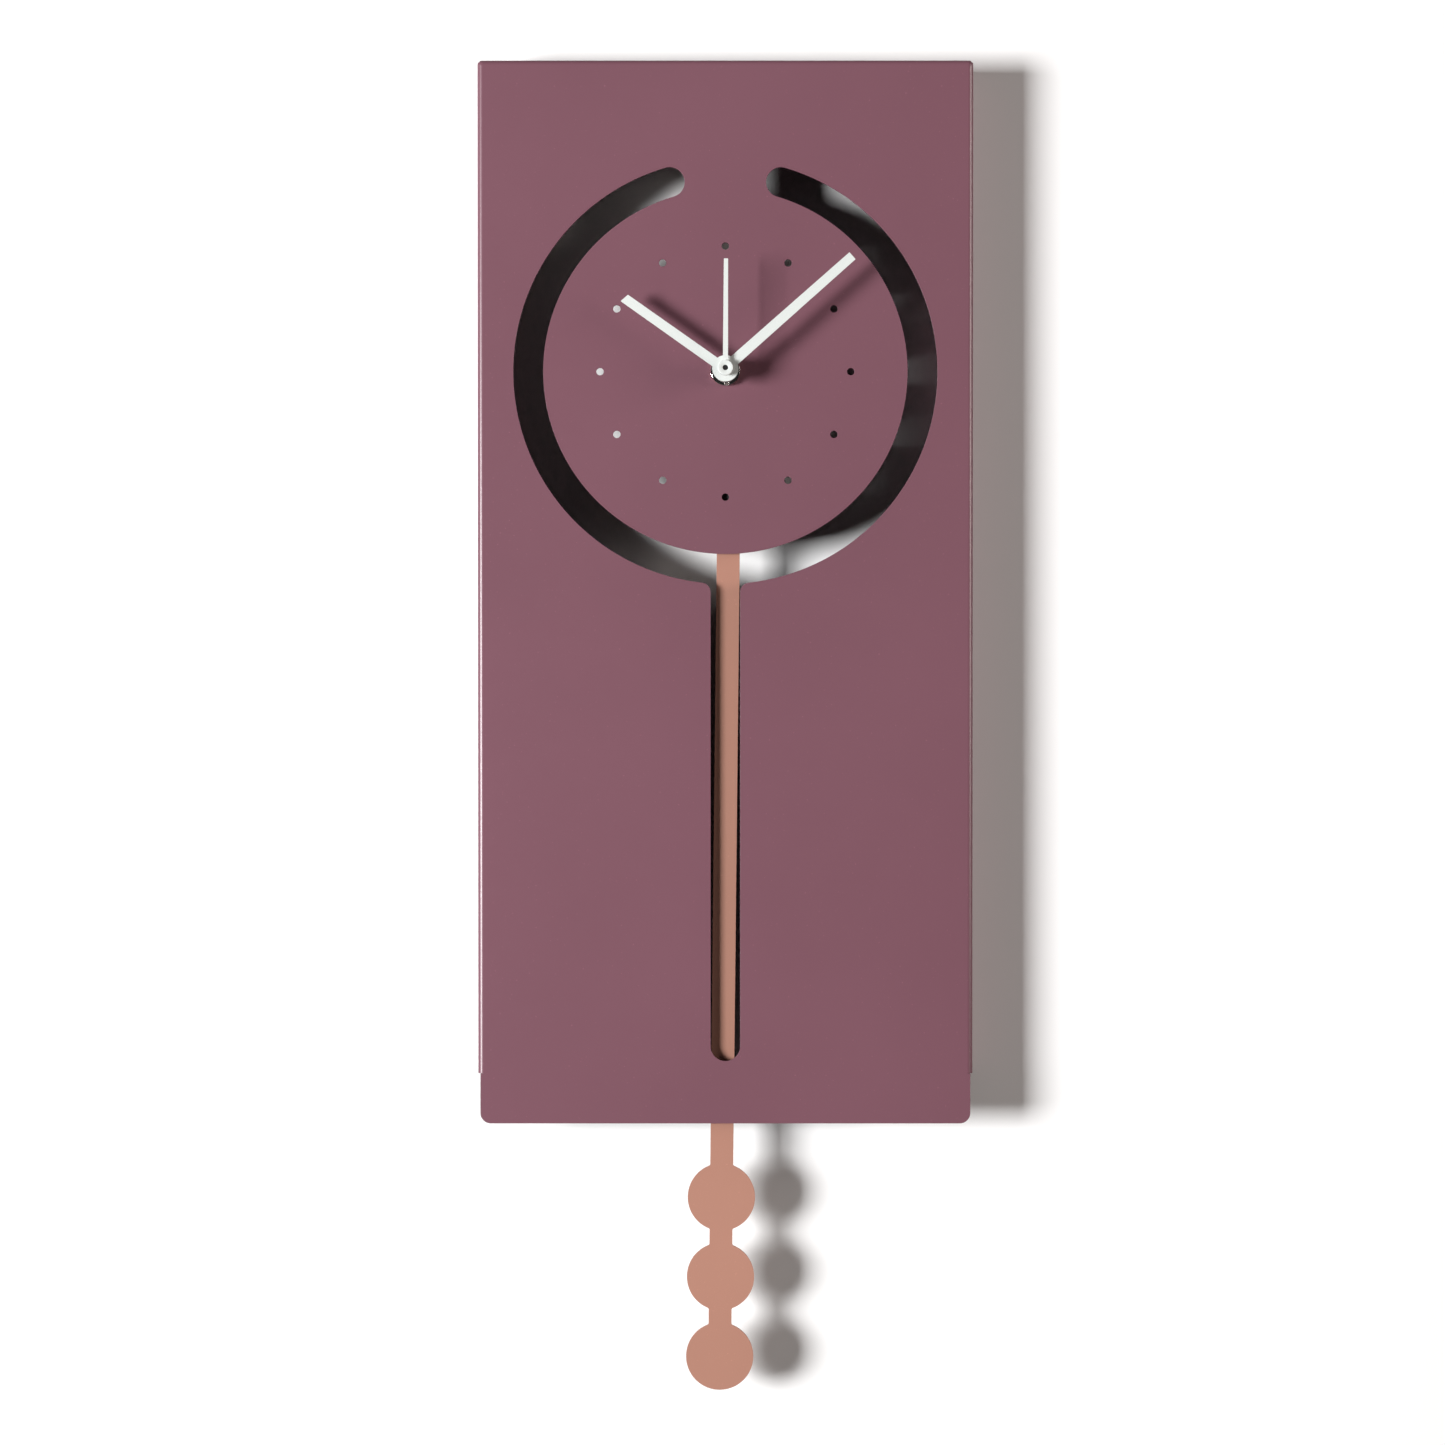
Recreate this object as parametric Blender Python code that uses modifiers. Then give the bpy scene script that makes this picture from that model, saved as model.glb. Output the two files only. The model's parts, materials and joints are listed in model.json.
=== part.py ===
"""Pendulum wall clock: a folded steel case, a battery pendulum movement, three hands and a swinging bar.

Everything hangs from one empty on the dial axis. In its frame X is right, Y is up and Z is the
height above the wall, so that pieces are drawn as they are seen from the front. The world's origin
is the point on the wall where the hanging screw goes in, with +Z up and the front facing -Y.
"""

import math

import bmesh
import bpy
from mathutils import Vector

# ---- Driving dimensions, in metres ----
MM = 0.001

HANG_ABOVE_DIAL = 150 * MM  # the hanging screw above the dial axis

# The folded case
CASE_HALF_WIDTH = 130 * MM
CASE_DEPTH = 30 * MM  # front face above the wall
SHEET = 1.2 * MM
BEND = 3 * MM  # outer bend radius
BEND_STEPS = 6
CORNER_STEPS = 3  # bend steps up to the corner notch, which is cut on the bend's middle line
CASE_TOP = 163.2 * MM
FLANGE_BOTTOM = -368.3 * MM
CASE_BOTTOM = -394.6 * MM
STRIP_HALF_WIDTH = 128.7 * MM  # the flat strip below the side flanges
STRIP_CORNER = 5.5 * MM
FLANGE_SLIT = 0.4 * MM

# The cut-outs of the front
RING_OUTER = 111.2 * MM
RING_INNER = 95.5 * MM
RING_END = math.radians(16.4)  # from 12 o'clock to the centre of a rounded slot end
SLOT_HALF_WIDTH = 7.75 * MM
SLOT_BOTTOM = -361.8 * MM
SLOT_FILLET = 5 * MM
HOUR_CIRCLE = 65.7 * MM
HOUR_HOLE = 1.95 * MM
SHAFT_HOLE = 4.3 * MM

# The hands: length, width at the tip, width at the hub, middle height above the wall
HOUR_HAND = (65 * MM, 4.9 * MM, 5.1 * MM, 40.4 * MM)
MINUTE_HAND = (88 * MM, 4.8 * MM, 5.4 * MM, 45.2 * MM)
SECOND_HAND = (56.5 * MM, 2.2 * MM, 2.7 * MM, 48.0 * MM)
HAND_SHEET = 0.5 * MM
HOUR_ANGLE = math.radians(-54.8)  # clockwise from 12
MINUTE_ANGLE = math.radians(48.5)
SECOND_ANGLE = math.radians(0.3)

# The concentric pipes at the dial axis
BUSHING_RADIUS = 4.0 * MM
HOUR_PIPE = 2.5 * MM
MINUTE_PIPE = 1.65 * MM
SECOND_ARBOR = 0.5 * MM
ARBOR = 0.4 * MM
PIPE_PLAY = 0.15 * MM

# The cross bar that hangs on the wall screw
HANGER_BACK = 1.5 * MM
HANGER_THICKNESS = 1.5 * MM
HANGER_TAB = 12 * MM  # the front edge of its bent ends
HANGER_BELOW = 19 * MM  # its lower and upper edges, from the screw
HANGER_ABOVE = 6 * MM
KEYHOLE_NECK = 2.2 * MM
KEYHOLE_HEAD = 4.5 * MM
KEYHOLE_DROP = 10 * MM

# The clamp through the dial: heights above the wall, from the back forward
BUSHING_BACK = 26.4 * MM
CLAMP_BACK = 27.7 * MM  # the gasket, and the bushing's flange inside it
CLAMP_FRONT = 28.5 * MM
WASHER_BACK = 30.3 * MM
WASHER_FRONT = 30.9 * MM
NUT_BACK = 31.2 * MM
NOTCH_BACK = 32.2 * MM
NUT_FRONT = 34 * MM
BUSHING_FRONT = 36 * MM
BUSHING_FLANGE = 5.8 * MM
GASKET_HALF_WIDTH = 24 * MM
GASKET_HOLE = 6.2 * MM
WASHER_RADIUS = 7.2 * MM
NUT_RADIUS = 7.6 * MM
NUT_CHAMFER = 0.5 * MM
NOTCH_FLOOR = 5.9 * MM  # from the axis
NOTCH_HALF_WIDTH = 1.1 * MM
NOTCH_ANGLE = -84  # degrees; the others follow every quarter turn

# The hands' hubs, and the rear ends of the collets that hold them on their pipes
HOUR_HUB = 6 * MM
MINUTE_HUB = 6.8 * MM
SECOND_HUB = 2 * MM
HOUR_SLANT = 1.2 * MM
HOUR_COLLET = (3.5 * MM, 37.6 * MM)
MINUTE_COLLET = (2.7 * MM, 42.2 * MM)
SECOND_COLLET = (1.1 * MM, 46.3 * MM)
CAP_RADIUS = 4 * MM
CAP_FRONT = 49.6 * MM
EYE_RADIUS = 1.45 * MM
EYE_BACK = 48.7 * MM
SECOND_ARBOR_FRONT = 47.9 * MM

# The movement
GAP = 0.3 * MM  # between pieces that touch
SHELL = 1.2 * MM
HOUSING_HALF_WIDTH = 28 * MM
HOUSING_TOP = 28 * MM
SHOULDER = -28 * MM
SHOULDER_SLOPE = 2 * MM
FOOT_HALF_WIDTH = 19 * MM
HOUSING_BOTTOM = -72 * MM
HOUSING_CORNER = 3 * MM
SHELL_FRONT = 27.4 * MM
SHELL_SPLIT = 20 * MM
COVER_BACK = 10 * MM

# Wheels: teeth and module; centre distances follow from them
MOTION_MODULE = 0.433 * MM
CANNON_TEETH = 12
WORKS_TEETH = 36
WORKS_PINION_TEETH = 10
HOUR_TEETH = 40
TRAIN_MODULE = 0.3 * MM
PINION_TEETH = 8
THIRD_TEETH = 60
CENTRE_TEETH = 64
SECOND_TEETH = 40
FAST_MODULE = 0.25 * MM
INTERMEDIATE_TEETH = 48
WHEEL_THICKNESS = 0.8 * MM
PINION_THICKNESS = 1.4 * MM
CANNON_THICKNESS = 1.2 * MM
WORKS_PINION_THICKNESS = 1.8 * MM
SECOND_PINION_THICKNESS = 2.1 * MM
TOOTH_PLAY = 0.05 * MM  # tips stop this far short of the pitch circle

# Rear faces of the wheels and pinions, from the rotor forward, and the arbors' ends
ARBOR_BACK = 12.1 * MM
ROTOR_BACK = 13.7 * MM
ROTOR_FRONT = 15.2 * MM
ROTOR_PINION = 15.9 * MM
ROTOR_ARBOR_FRONT = 17.6 * MM
INTERMEDIATE_WHEEL = 16.2 * MM
INTERMEDIATE_PINION = 17.7 * MM
INTERMEDIATE_ARBOR_FRONT = 19.4 * MM
SECOND_WHEEL = 18 * MM
SECOND_PINION = 18.7 * MM
THIRD_WHEEL = 19.8 * MM
THIRD_PINION = 21.3 * MM
THIRD_ARBOR_FRONT = 23 * MM
CENTRE_WHEEL = 21.6 * MM
CANNON = 23.2 * MM
WORKS_WHEEL = 23.4 * MM
WORKS_PINION = 24 * MM
WORKS_ARBOR_FRONT = 25.9 * MM
HOUR_WHEEL = 24.8 * MM
MINUTE_PIPE_BACK = 20.9 * MM
MINUTE_PIPE_FRONT = 45.7 * MM
HOUR_PIPE_FRONT = 41 * MM
ROTOR_RADIUS = 3 * MM
STEM = 0.7 * MM
KNOB_RADIUS = 5 * MM
KNOB_KNURLS = 18
KNURL_DEPTH = 0.25 * MM
KNOB_BACK = 5.6 * MM
KNOB_FRONT = 9.5 * MM
STEM_BACK = 7.5 * MM
PLATE_BACK = 11.9 * MM
PLATE_FRONT = 12.7 * MM

# The battery, along X
CELL_Y = 19.1 * MM
CELL_Z = 18.6 * MM
CELL_RADIUS = 7.1 * MM
CELL_END = 24.2 * MM
CELL_NUB = 25.3 * MM
NUB_RADIUS = 2.7 * MM
BAY_HALF_WIDTH = 25.3 * MM
BAY_BOTTOM = 11.7 * MM
BAY_TOP = 26.6 * MM

# The electric pieces
COIL_HALF_LENGTH = 10 * MM
COIL_PLACE = (1.5 * MM, -20.4 * MM, 15.5 * MM)
COIL_FLANGE_RADIUS = 3.6 * MM
COIL_RADIUS = 3.1 * MM
SPOOL_BORE = 1.5 * MM
CORE_LOW = (-19 * MM, -21.4 * MM, 15.1 * MM)
CORE_HIGH = (14 * MM, -19.4 * MM, 15.8 * MM)
CHIP_PLACE = (15 * MM, -20.5 * MM, 21.2 * MM)
CRYSTAL_PLACE = (-15 * MM, -18 * MM, 20.1 * MM)
DRIVE_COIL_DROP = 60 * MM  # the pendulum's coil below the dial axis, with the magnet in front

# The pendulum
PIVOT_DROP = 36 * MM  # below the dial axis
HOOK = (1.7 * MM, -44 * MM)  # from the pivot
BAR_TILT = math.radians(-0.613)
BAR_HALF_WIDTH = 6.05 * MM
BAR_SHEET = 1.5 * MM
BAR_FRONT = 25.2 * MM
DISC_RADIUS = 17.75 * MM
DISC_DROPS = [drop * MM for drop in (354.3, 396.35, 438.4)]  # centres below the hook
DISC_FILLET = 0.9 * MM
ARM_BACK = 21.9 * MM
ARM_FRONT = 23.1 * MM
ARM_HALF_WIDTH = 3 * MM
PIN_BACK = 11.5 * MM
PIN_FRONT = 25.9 * MM
PIN_RADIUS = 1 * MM
PEG_NECK = 1.4 * MM
PEG_FRONT = 26.6 * MM
MAGNET_RADIUS = 4.5 * MM
MAGNET_BACK = 19.2 * MM
MAGNET_OFFSET = 0.9 * MM

SMOOTH_ANGLE = math.radians(30)
CIRCLE_STEPS = 24


# ---- Scene, materials and parents ----
def clear_scene():
    for obj in list(bpy.data.objects):
        bpy.data.objects.remove(obj)


def new_collection(name):
    collection = bpy.data.collections.new(name)
    bpy.context.scene.collection.children.link(collection)
    return collection


def new_material(name, color, roughness, metallic=0.0):
    material = bpy.data.materials.new(name)
    material.use_nodes = True
    shader = material.node_tree.nodes["Principled BSDF"]
    shader.inputs["Base Color"].default_value = (*color, 1)
    shader.inputs["Roughness"].default_value = roughness
    shader.inputs["Metallic"].default_value = metallic
    material.diffuse_color = (*color, 1)
    return material


def new_axis(name, parent=None, location=(0, 0, 0), rotation=(0, 0, 0)):
    """An empty that a group of pieces is drawn around."""
    empty = bpy.data.objects.new(name, None)
    empty.location = location
    empty.rotation_euler = rotation
    empty.parent = parent
    PARTS.objects.link(empty)
    return empty


# ---- Ways of making a solid ----
def add_object(name, mesh, material, parent):
    obj = bpy.data.objects.new(name, mesh)
    obj.parent = parent
    mesh.materials.clear()
    mesh.materials.append(material)
    PARTS.objects.link(obj)
    return obj


def evaluated_mesh(obj):
    graph = bpy.context.evaluated_depsgraph_get()
    return bpy.data.meshes.new_from_object(obj.evaluated_get(graph))


def weld(mesh):
    work = bmesh.new()
    work.from_mesh(mesh)
    bmesh.ops.remove_doubles(work, verts=work.verts, dist=1e-6)
    work.to_mesh(mesh)
    work.free()


def plate(name, loops, back, front, material, parent):
    """A flat piece: the first loop is its outline, the others are its holes."""
    curve = bpy.data.curves.new(name, "CURVE")
    curve.dimensions = "2D"
    curve.fill_mode = "BOTH"
    curve.extrude = (front - back) / 2
    for loop in loops:
        spline = curve.splines.new("POLY")
        spline.points.add(len(loop) - 1)
        for point, (x, y) in zip(spline.points, loop):
            point.co = (x, y, 0, 1)
        spline.use_cyclic_u = True
    outline = bpy.data.objects.new(name + "_outline", curve)
    bpy.context.scene.collection.objects.link(outline)
    mesh = evaluated_mesh(outline)
    bpy.data.objects.remove(outline)
    weld(mesh)
    obj = add_object(name, mesh, material, parent)
    obj.location.z = (front + back) / 2
    return obj


def turned(name, profile, material, parent, closed=False, steps=CIRCLE_STEPS):
    """A piece turned about Z from (radius, height) points that run down its outer side."""
    count = len(profile)
    edges = [(i, i + 1) for i in range(count - 1)]
    if closed:
        edges.append((count - 1, 0))
    mesh = bpy.data.meshes.new(name)
    mesh.from_pydata([(radius, 0, height) for radius, height in profile], edges, [])
    obj = add_object(name, mesh, material, parent)
    screw = obj.modifiers.new("turn", "SCREW")
    screw.steps = steps
    screw.render_steps = steps
    screw.use_merge_vertices = True
    screw.merge_threshold = 1e-6
    return settle(obj)


def from_work(name, work, material, parent):
    mesh = bpy.data.meshes.new(name)
    work.to_mesh(mesh)
    work.free()
    return add_object(name, mesh, material, parent)


def rod(name, radius, back, front, material, parent, steps=CIRCLE_STEPS):
    work = bmesh.new()
    size = {"radius1": radius, "radius2": radius, "depth": front - back}
    bmesh.ops.create_cone(work, cap_ends=True, segments=steps, **size)
    obj = from_work(name, work, material, parent)
    obj.location.z = (front + back) / 2
    return settle(obj)


def ring(name, inner, outer, back, front, material, parent, steps=CIRCLE_STEPS):
    profile = [(inner, front), (outer, front), (outer, back), (inner, back)]
    return turned(name, profile, material, parent, closed=True, steps=steps)


def box(name, low, high, material, parent):
    low = Vector(low)
    high = Vector(high)
    work = bmesh.new()
    bmesh.ops.create_cube(work, size=1)
    bmesh.ops.scale(work, verts=work.verts, vec=high - low)
    obj = from_work(name, work, material, parent)
    obj.location = (low + high) / 2
    return obj


def settle(obj):
    """Keeps what the modifiers make as the object's own mesh, shaded smooth on its round sides."""
    mesh = evaluated_mesh(obj)
    obj.modifiers.clear()
    obj.data = mesh
    mesh.shade_smooth()
    mesh.set_sharp_from_angle(angle=SMOOTH_ANGLE)
    return obj


def combine(obj, operation, *tools):
    """Joins the tools to the object, or cuts it with them, and removes them."""
    for tool in tools:
        boolean = obj.modifiers.new(operation.lower(), "BOOLEAN")
        boolean.operation = operation
        boolean.solver = "EXACT"
        boolean.object = tool
    bpy.context.view_layer.update()
    settle(obj)
    for tool in tools:
        bpy.data.objects.remove(tool)
    return obj


def joined(obj, *tools):
    return combine(obj, "UNION", *tools)


def cut(obj, *tools):
    return combine(obj, "DIFFERENCE", *tools)


# ---- Outlines ----
def arc(centre, radius, start, end, steps):
    """Points along an arc, ends included, with angles from +X."""
    return [
        (
            centre[0] + radius * math.cos(start + (end - start) * i / steps),
            centre[1] + radius * math.sin(start + (end - start) * i / steps),
        )
        for i in range(steps + 1)
    ]


def circle(centre, radius, steps=CIRCLE_STEPS):
    return arc(centre, radius, 0, math.tau, steps)[:-1]


def rounded(corners, steps=4):
    """A closed outline through (x, y, radius) corners."""
    loop = []
    for index, (x, y, radius) in enumerate(corners):
        corner = Vector((x, y))
        if radius == 0:
            loop.append((x, y))
            continue
        before = (Vector(corners[index - 1][:2]) - corner).normalized()
        after = (Vector(corners[(index + 1) % len(corners)][:2]) - corner).normalized()
        half = before.angle(after) / 2
        centre = corner + (before + after).normalized() * radius / math.sin(half)
        start = corner + before * radius / math.tan(half) - centre
        end = corner + after * radius / math.tan(half) - centre
        angle = math.atan2(start.y, start.x)
        sweep = math.atan2(start.x * end.y - start.y * end.x, start.dot(end))
        loop += arc(centre, radius, angle, angle + sweep, steps)
    return loop


def rectangle(half_width, low, high, radius):
    return rounded(
        [
            (-half_width, low, radius),
            (half_width, low, radius),
            (half_width, high, radius),
            (-half_width, high, radius),
        ]
    )


def mirrored(points):
    """The same points on the left, in the order that closes an outline."""
    return [(-x, y) for x, y in reversed(points)]


def gear(teeth, module):
    pitch = teeth * module / 2
    tip = pitch - TOOTH_PLAY
    root = pitch - 2 * module
    pattern = ((-0.5, root), (-0.17, tip), (0.17, tip))
    return [
        (
            radius * math.cos((tooth + share) * math.tau / teeth),
            radius * math.sin((tooth + share) * math.tau / teeth),
        )
        for tooth in range(teeth)
        for share, radius in pattern
    ]


# ---- The case ----
def front_outline():
    """The front's flat part, up to the fold lines, with the strip below the side flanges."""
    fold = CASE_HALF_WIDTH - BEND
    strip_top = FLANGE_BOTTOM - FLANGE_SLIT
    corner = (STRIP_HALF_WIDTH - STRIP_CORNER, CASE_BOTTOM + STRIP_CORNER)
    right = [
        (fold, CASE_TOP - BEND),
        (fold, FLANGE_BOTTOM),
        (fold, strip_top),
        (STRIP_HALF_WIDTH, strip_top),
    ]
    right += arc(corner, STRIP_CORNER, 0, -math.pi / 2, 6)
    return right + mirrored(right)


def slot_outline():
    """The ring slot and the vertical slot, which are one opening."""
    down = -math.pi / 2
    end = math.pi / 2 - RING_END
    middle = (RING_OUTER + RING_INNER) / 2
    reach = SLOT_HALF_WIDTH + SLOT_FILLET
    drop = -math.sqrt((RING_OUTER + SLOT_FILLET) ** 2 - reach**2)
    meet = math.atan2(drop, reach)
    slot_end = (0, SLOT_BOTTOM + SLOT_HALF_WIDTH)
    end_centre = (middle * math.cos(end), middle * math.sin(end))
    right = arc(slot_end, SLOT_HALF_WIDTH, down, 0, 6)
    right += arc((reach, drop), SLOT_FILLET, math.pi, meet + math.pi, 4)
    right += arc((0, 0), RING_OUTER, meet, end, 30)[1:]
    right += arc(end_centre, (RING_OUTER - RING_INNER) / 2, end, end + math.pi, 8)[1:-1]
    right += arc((0, 0), RING_INNER, end, down, 32)
    left = mirrored(right)
    return right + left[1:-1]


def hour_holes():
    holes = []
    for hour in range(12):
        angle = hour * math.tau / 12
        centre = (HOUR_CIRCLE * math.sin(angle), HOUR_CIRCLE * math.cos(angle))
        holes.append(circle(centre, HOUR_HOLE, 10))
    return holes


def bend_step(step):
    """How far a fold has gone sideways and back. The step past the bend is the flange's edge."""
    if step > BEND_STEPS:
        return BEND, CASE_DEPTH
    angle = step * math.pi / 2 / BEND_STEPS
    return BEND * math.sin(angle), BEND * (1 - math.cos(angle))


def folded_point(side, across, up):
    """A point of the sheet's outer face past the fold lines of one side and of the top."""
    reach, back = bend_step(across)
    rise, top_back = bend_step(up)
    x = side * (CASE_HALF_WIDTH - BEND + reach)
    y = CASE_TOP - BEND + rise
    return (x, y, max(0, CASE_DEPTH - back - top_back))


def add_fold(work, rows):
    """Faces between successive rows of points."""
    made = [[work.verts.new(point) for point in row] for row in rows]
    for first, second in zip(made, made[1:]):
        for i in range(len(first) - 1):
            work.faces.new((first[i], first[i + 1], second[i + 1], second[i]))


def add_side_flange(work, side):
    steps = range(BEND_STEPS + 2)
    top = [folded_point(side, step, 0) for step in steps]
    bottom = [(x, FLANGE_BOTTOM, z) for x, _, z in top]
    add_fold(work, [bottom, top])


def add_top_flange(work):
    steps = range(BEND_STEPS + 2)
    add_fold(work, [[folded_point(side, 0, step) for step in steps] for side in (-1, 1)])


def add_corner(work, side):
    """Where the side and top folds meet, each bends halfway and then the notch begins."""
    half = range(CORNER_STEPS + 1)
    add_fold(work, [[folded_point(side, across, up) for across in half] for up in half])
    rest = range(CORNER_STEPS, BEND_STEPS + 2)
    add_fold(work, [[folded_point(side, step, up) for step in rest] for up in half[:-1]])
    add_fold(work, [[folded_point(side, across, step) for step in rest] for across in half[:-1]])


def make_case_sheet(frame):
    work = bmesh.new()
    loops = [front_outline(), slot_outline(), circle((0, 0), SHAFT_HOLE, 24)]
    edges = []
    for loop in loops + hour_holes():
        verts = [work.verts.new((x, y, CASE_DEPTH)) for x, y in loop]
        edges += [work.edges.new((verts[i - 1], verts[i])) for i in range(len(verts))]
    bmesh.ops.triangle_fill(work, use_beauty=True, edges=edges, normal=(0, 0, 1))
    add_top_flange(work)
    for side in (-1, 1):
        add_side_flange(work, side)
        add_corner(work, side)
    bmesh.ops.remove_doubles(work, verts=work.verts, dist=1e-6)
    bmesh.ops.recalc_face_normals(work, faces=work.faces)
    front = max(work.faces, key=lambda face: face.calc_center_median().z)
    if front.normal.z < 0:
        bmesh.ops.reverse_faces(work, faces=work.faces)
    obj = from_work("case_sheet", work, PLUM, frame)
    solid = obj.modifiers.new("sheet", "SOLIDIFY")
    solid.thickness = SHEET
    solid.offset = -1
    solid.use_even_offset = True
    return settle(obj)


def make_hanger_bar(frame):
    """A cross bar with bent ends, welded between the side flanges, with a keyhole in its middle."""
    half = CASE_HALF_WIDTH - SHEET - GAP
    low = HANG_ABOVE_DIAL - HANGER_BELOW
    high = HANG_ABOVE_DIAL + HANGER_ABOVE
    bar = box("hanger_bar", (-half, low, HANGER_BACK), (half, high, HANGER_TAB), STEEL, frame)
    half -= HANGER_THICKNESS
    inner = (-half, low - MM, HANGER_BACK + HANGER_THICKNESS)
    room = box("room", inner, (half, high + MM, HANGER_TAB + MM), STEEL, frame)
    head = rod("head", KEYHOLE_HEAD, 0, HANGER_TAB, STEEL, frame, steps=24)
    head.location.y = HANG_ABOVE_DIAL - KEYHOLE_DROP
    loop = arc((0, HANG_ABOVE_DIAL), KEYHOLE_NECK, 0, math.pi, 8)
    loop += [(-KEYHOLE_NECK, head.location.y), (KEYHOLE_NECK, head.location.y)]
    slot = plate("slot", [loop], 0, HANGER_TAB, STEEL, frame)
    return cut(bar, room, head, slot)


# ---- The clamp through the dial ----
def make_bushing(frame):
    inner = HOUR_PIPE + 0.2 * MM
    profile = [
        (inner, BUSHING_FRONT),
        (BUSHING_RADIUS, BUSHING_FRONT),
        (BUSHING_RADIUS, CLAMP_FRONT),
        (BUSHING_FLANGE, CLAMP_FRONT),
        (BUSHING_FLANGE, CLAMP_BACK),
        (BUSHING_RADIUS, CLAMP_BACK),
        (BUSHING_RADIUS, BUSHING_BACK),
        (inner, BUSHING_BACK),
    ]
    return turned("threaded_bushing", profile, BRASS, frame, closed=True)


def make_gasket(frame):
    half = GASKET_HALF_WIDTH
    loops = [rectangle(half, -half, half, 4 * MM), circle((0, 0), GASKET_HOLE)]
    return plate("rubber_gasket", loops, CLAMP_BACK, CLAMP_FRONT, RUBBER, frame)


def make_washer(frame):
    return ring("flat_washer", SHAFT_HOLE, WASHER_RADIUS, WASHER_BACK, WASHER_FRONT, BRASS, frame)


def make_nut(frame):
    """A round nut with four wrench notches and a chamfered rim."""
    profile = [
        (SHAFT_HOLE, NUT_FRONT),
        (NUT_RADIUS - NUT_CHAMFER, NUT_FRONT),
        (NUT_RADIUS, NUT_FRONT - NUT_CHAMFER),
        (NUT_RADIUS, NUT_BACK),
        (SHAFT_HOLE, NUT_BACK),
    ]
    nut = turned("fixing_nut", profile, CHROME, frame, closed=True, steps=40)
    notches = []
    for index in range(4):
        low = (NOTCH_FLOOR, -NOTCH_HALF_WIDTH, NOTCH_BACK)
        high = (NUT_RADIUS + MM, NOTCH_HALF_WIDTH, NUT_FRONT + MM)
        notch = box("notch", low, high, CHROME, frame)
        angle = NOTCH_ANGLE + 90 * index
        notch.location.xy = polar(notch.location.x, angle)
        notch.rotation_euler.z = math.radians(angle)
        notches.append(notch)
    return cut(nut, *notches)


# ---- The hands ----
def hand_plate(name, size, hub, slant, parent):
    """A flat blade along +Y that grows out of a round hub. The slant is what its left edge gains."""
    length, tip, root, height = size
    meet = math.acos(root / 2 / hub)
    loop = [(tip / 2, length - slant), (-tip / 2, length)]
    loop += arc((0, 0), hub, math.pi - meet, math.tau + meet, 32)
    return plate(name, [loop], height - HAND_SHEET / 2, height + HAND_SHEET / 2, WHITE, parent)


def make_hour_hand(axis):
    radius, back = HOUR_COLLET
    hand = hand_plate("hour_hand", HOUR_HAND, HOUR_HUB, HOUR_SLANT, axis)
    joined(hand, rod("collet", radius, back, HOUR_HAND[3], WHITE, axis))
    return cut(hand, rod("bore", HOUR_PIPE + PIPE_PLAY, back - MM, HOUR_HAND[3] + MM, WHITE, axis))


def make_minute_hand(axis):
    radius, back = MINUTE_COLLET
    hand = hand_plate("minute_hand", MINUTE_HAND, MINUTE_HUB, 0, axis)
    joined(hand, rod("collet", radius, back, MINUTE_HAND[3], WHITE, axis))
    return cut(hand, rod("bore", MINUTE_PIPE + PIPE_PLAY, back - MM, MINUTE_HAND[3] + MM, WHITE, axis))


def make_second_hand(axis):
    """A narrow blade under a round cap, whose eye shows the arbor's dark end."""
    height = SECOND_HAND[3]
    radius, back = SECOND_COLLET
    hand = hand_plate("second_hand", SECOND_HAND, SECOND_HUB, 0, axis)
    disc = rod("disc", CAP_RADIUS, height - 0.4 * MM, CAP_FRONT, WHITE, axis, steps=32)
    collet = rod("collet", radius, back, height, WHITE, axis, steps=16)
    end = SECOND_ARBOR_FRONT + 0.2 * MM
    bore = rod("bore", SECOND_ARBOR + PIPE_PLAY, back - GAP, end, WHITE, axis, steps=16)
    eye = rod("eye", EYE_RADIUS, EYE_BACK, CAP_FRONT + MM, WHITE, axis, steps=20)
    joined(hand, disc, collet)
    return cut(hand, bore, eye)


# ---- The wheels ----
def toothed(name, teeth, module, back, thickness, axis):
    return plate(name, [gear(teeth, module)], back, back + thickness, WHEEL, axis)


def make_hour_wheel(axis):
    wheel = toothed("hour_wheel", HOUR_TEETH, hour_module(), HOUR_WHEEL, WHEEL_THICKNESS, axis)
    joined(wheel, rod("pipe", HOUR_PIPE, HOUR_WHEEL + 0.1 * MM, HOUR_PIPE_FRONT, WHEEL, axis))
    bore = rod("bore", MINUTE_PIPE + PIPE_PLAY, HOUR_WHEEL - MM, HOUR_PIPE_FRONT + MM, WHEEL, axis)
    return cut(wheel, bore)


def make_minute_pipe(axis):
    back = MINUTE_PIPE_BACK
    front = MINUTE_PIPE_FRONT
    pipe = rod("minute_pipe", MINUTE_PIPE, back, front, WHEEL, axis)
    joined(pipe, toothed("pinion", CANNON_TEETH, MOTION_MODULE, CANNON, CANNON_THICKNESS, axis))
    return cut(pipe, rod("bore", SECOND_ARBOR + PIPE_PLAY, back - MM, front + MM, WHEEL, axis, 20))


def make_centre_wheel(axis):
    wheel = toothed("centre_wheel", CENTRE_TEETH, centre_module(), CENTRE_WHEEL, WHEEL_THICKNESS, axis)
    bore = rod("bore", MINUTE_PIPE + PIPE_PLAY, CENTRE_WHEEL - MM, CENTRE_WHEEL + 2 * MM, WHEEL, axis)
    return cut(wheel, bore)


def make_works_wheel(axis):
    thickness = WORKS_PINION_THICKNESS
    wheel = toothed("minute_works_wheel", WORKS_TEETH, MOTION_MODULE, WORKS_WHEEL, WHEEL_THICKNESS, axis)
    pinion = toothed("pinion", WORKS_PINION_TEETH, hour_module(), WORKS_PINION, thickness, axis)
    return joined(wheel, pinion, rod("stem", STEM, STEM_BACK, WORKS_ARBOR_FRONT, WHEEL, axis, 20))


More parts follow.
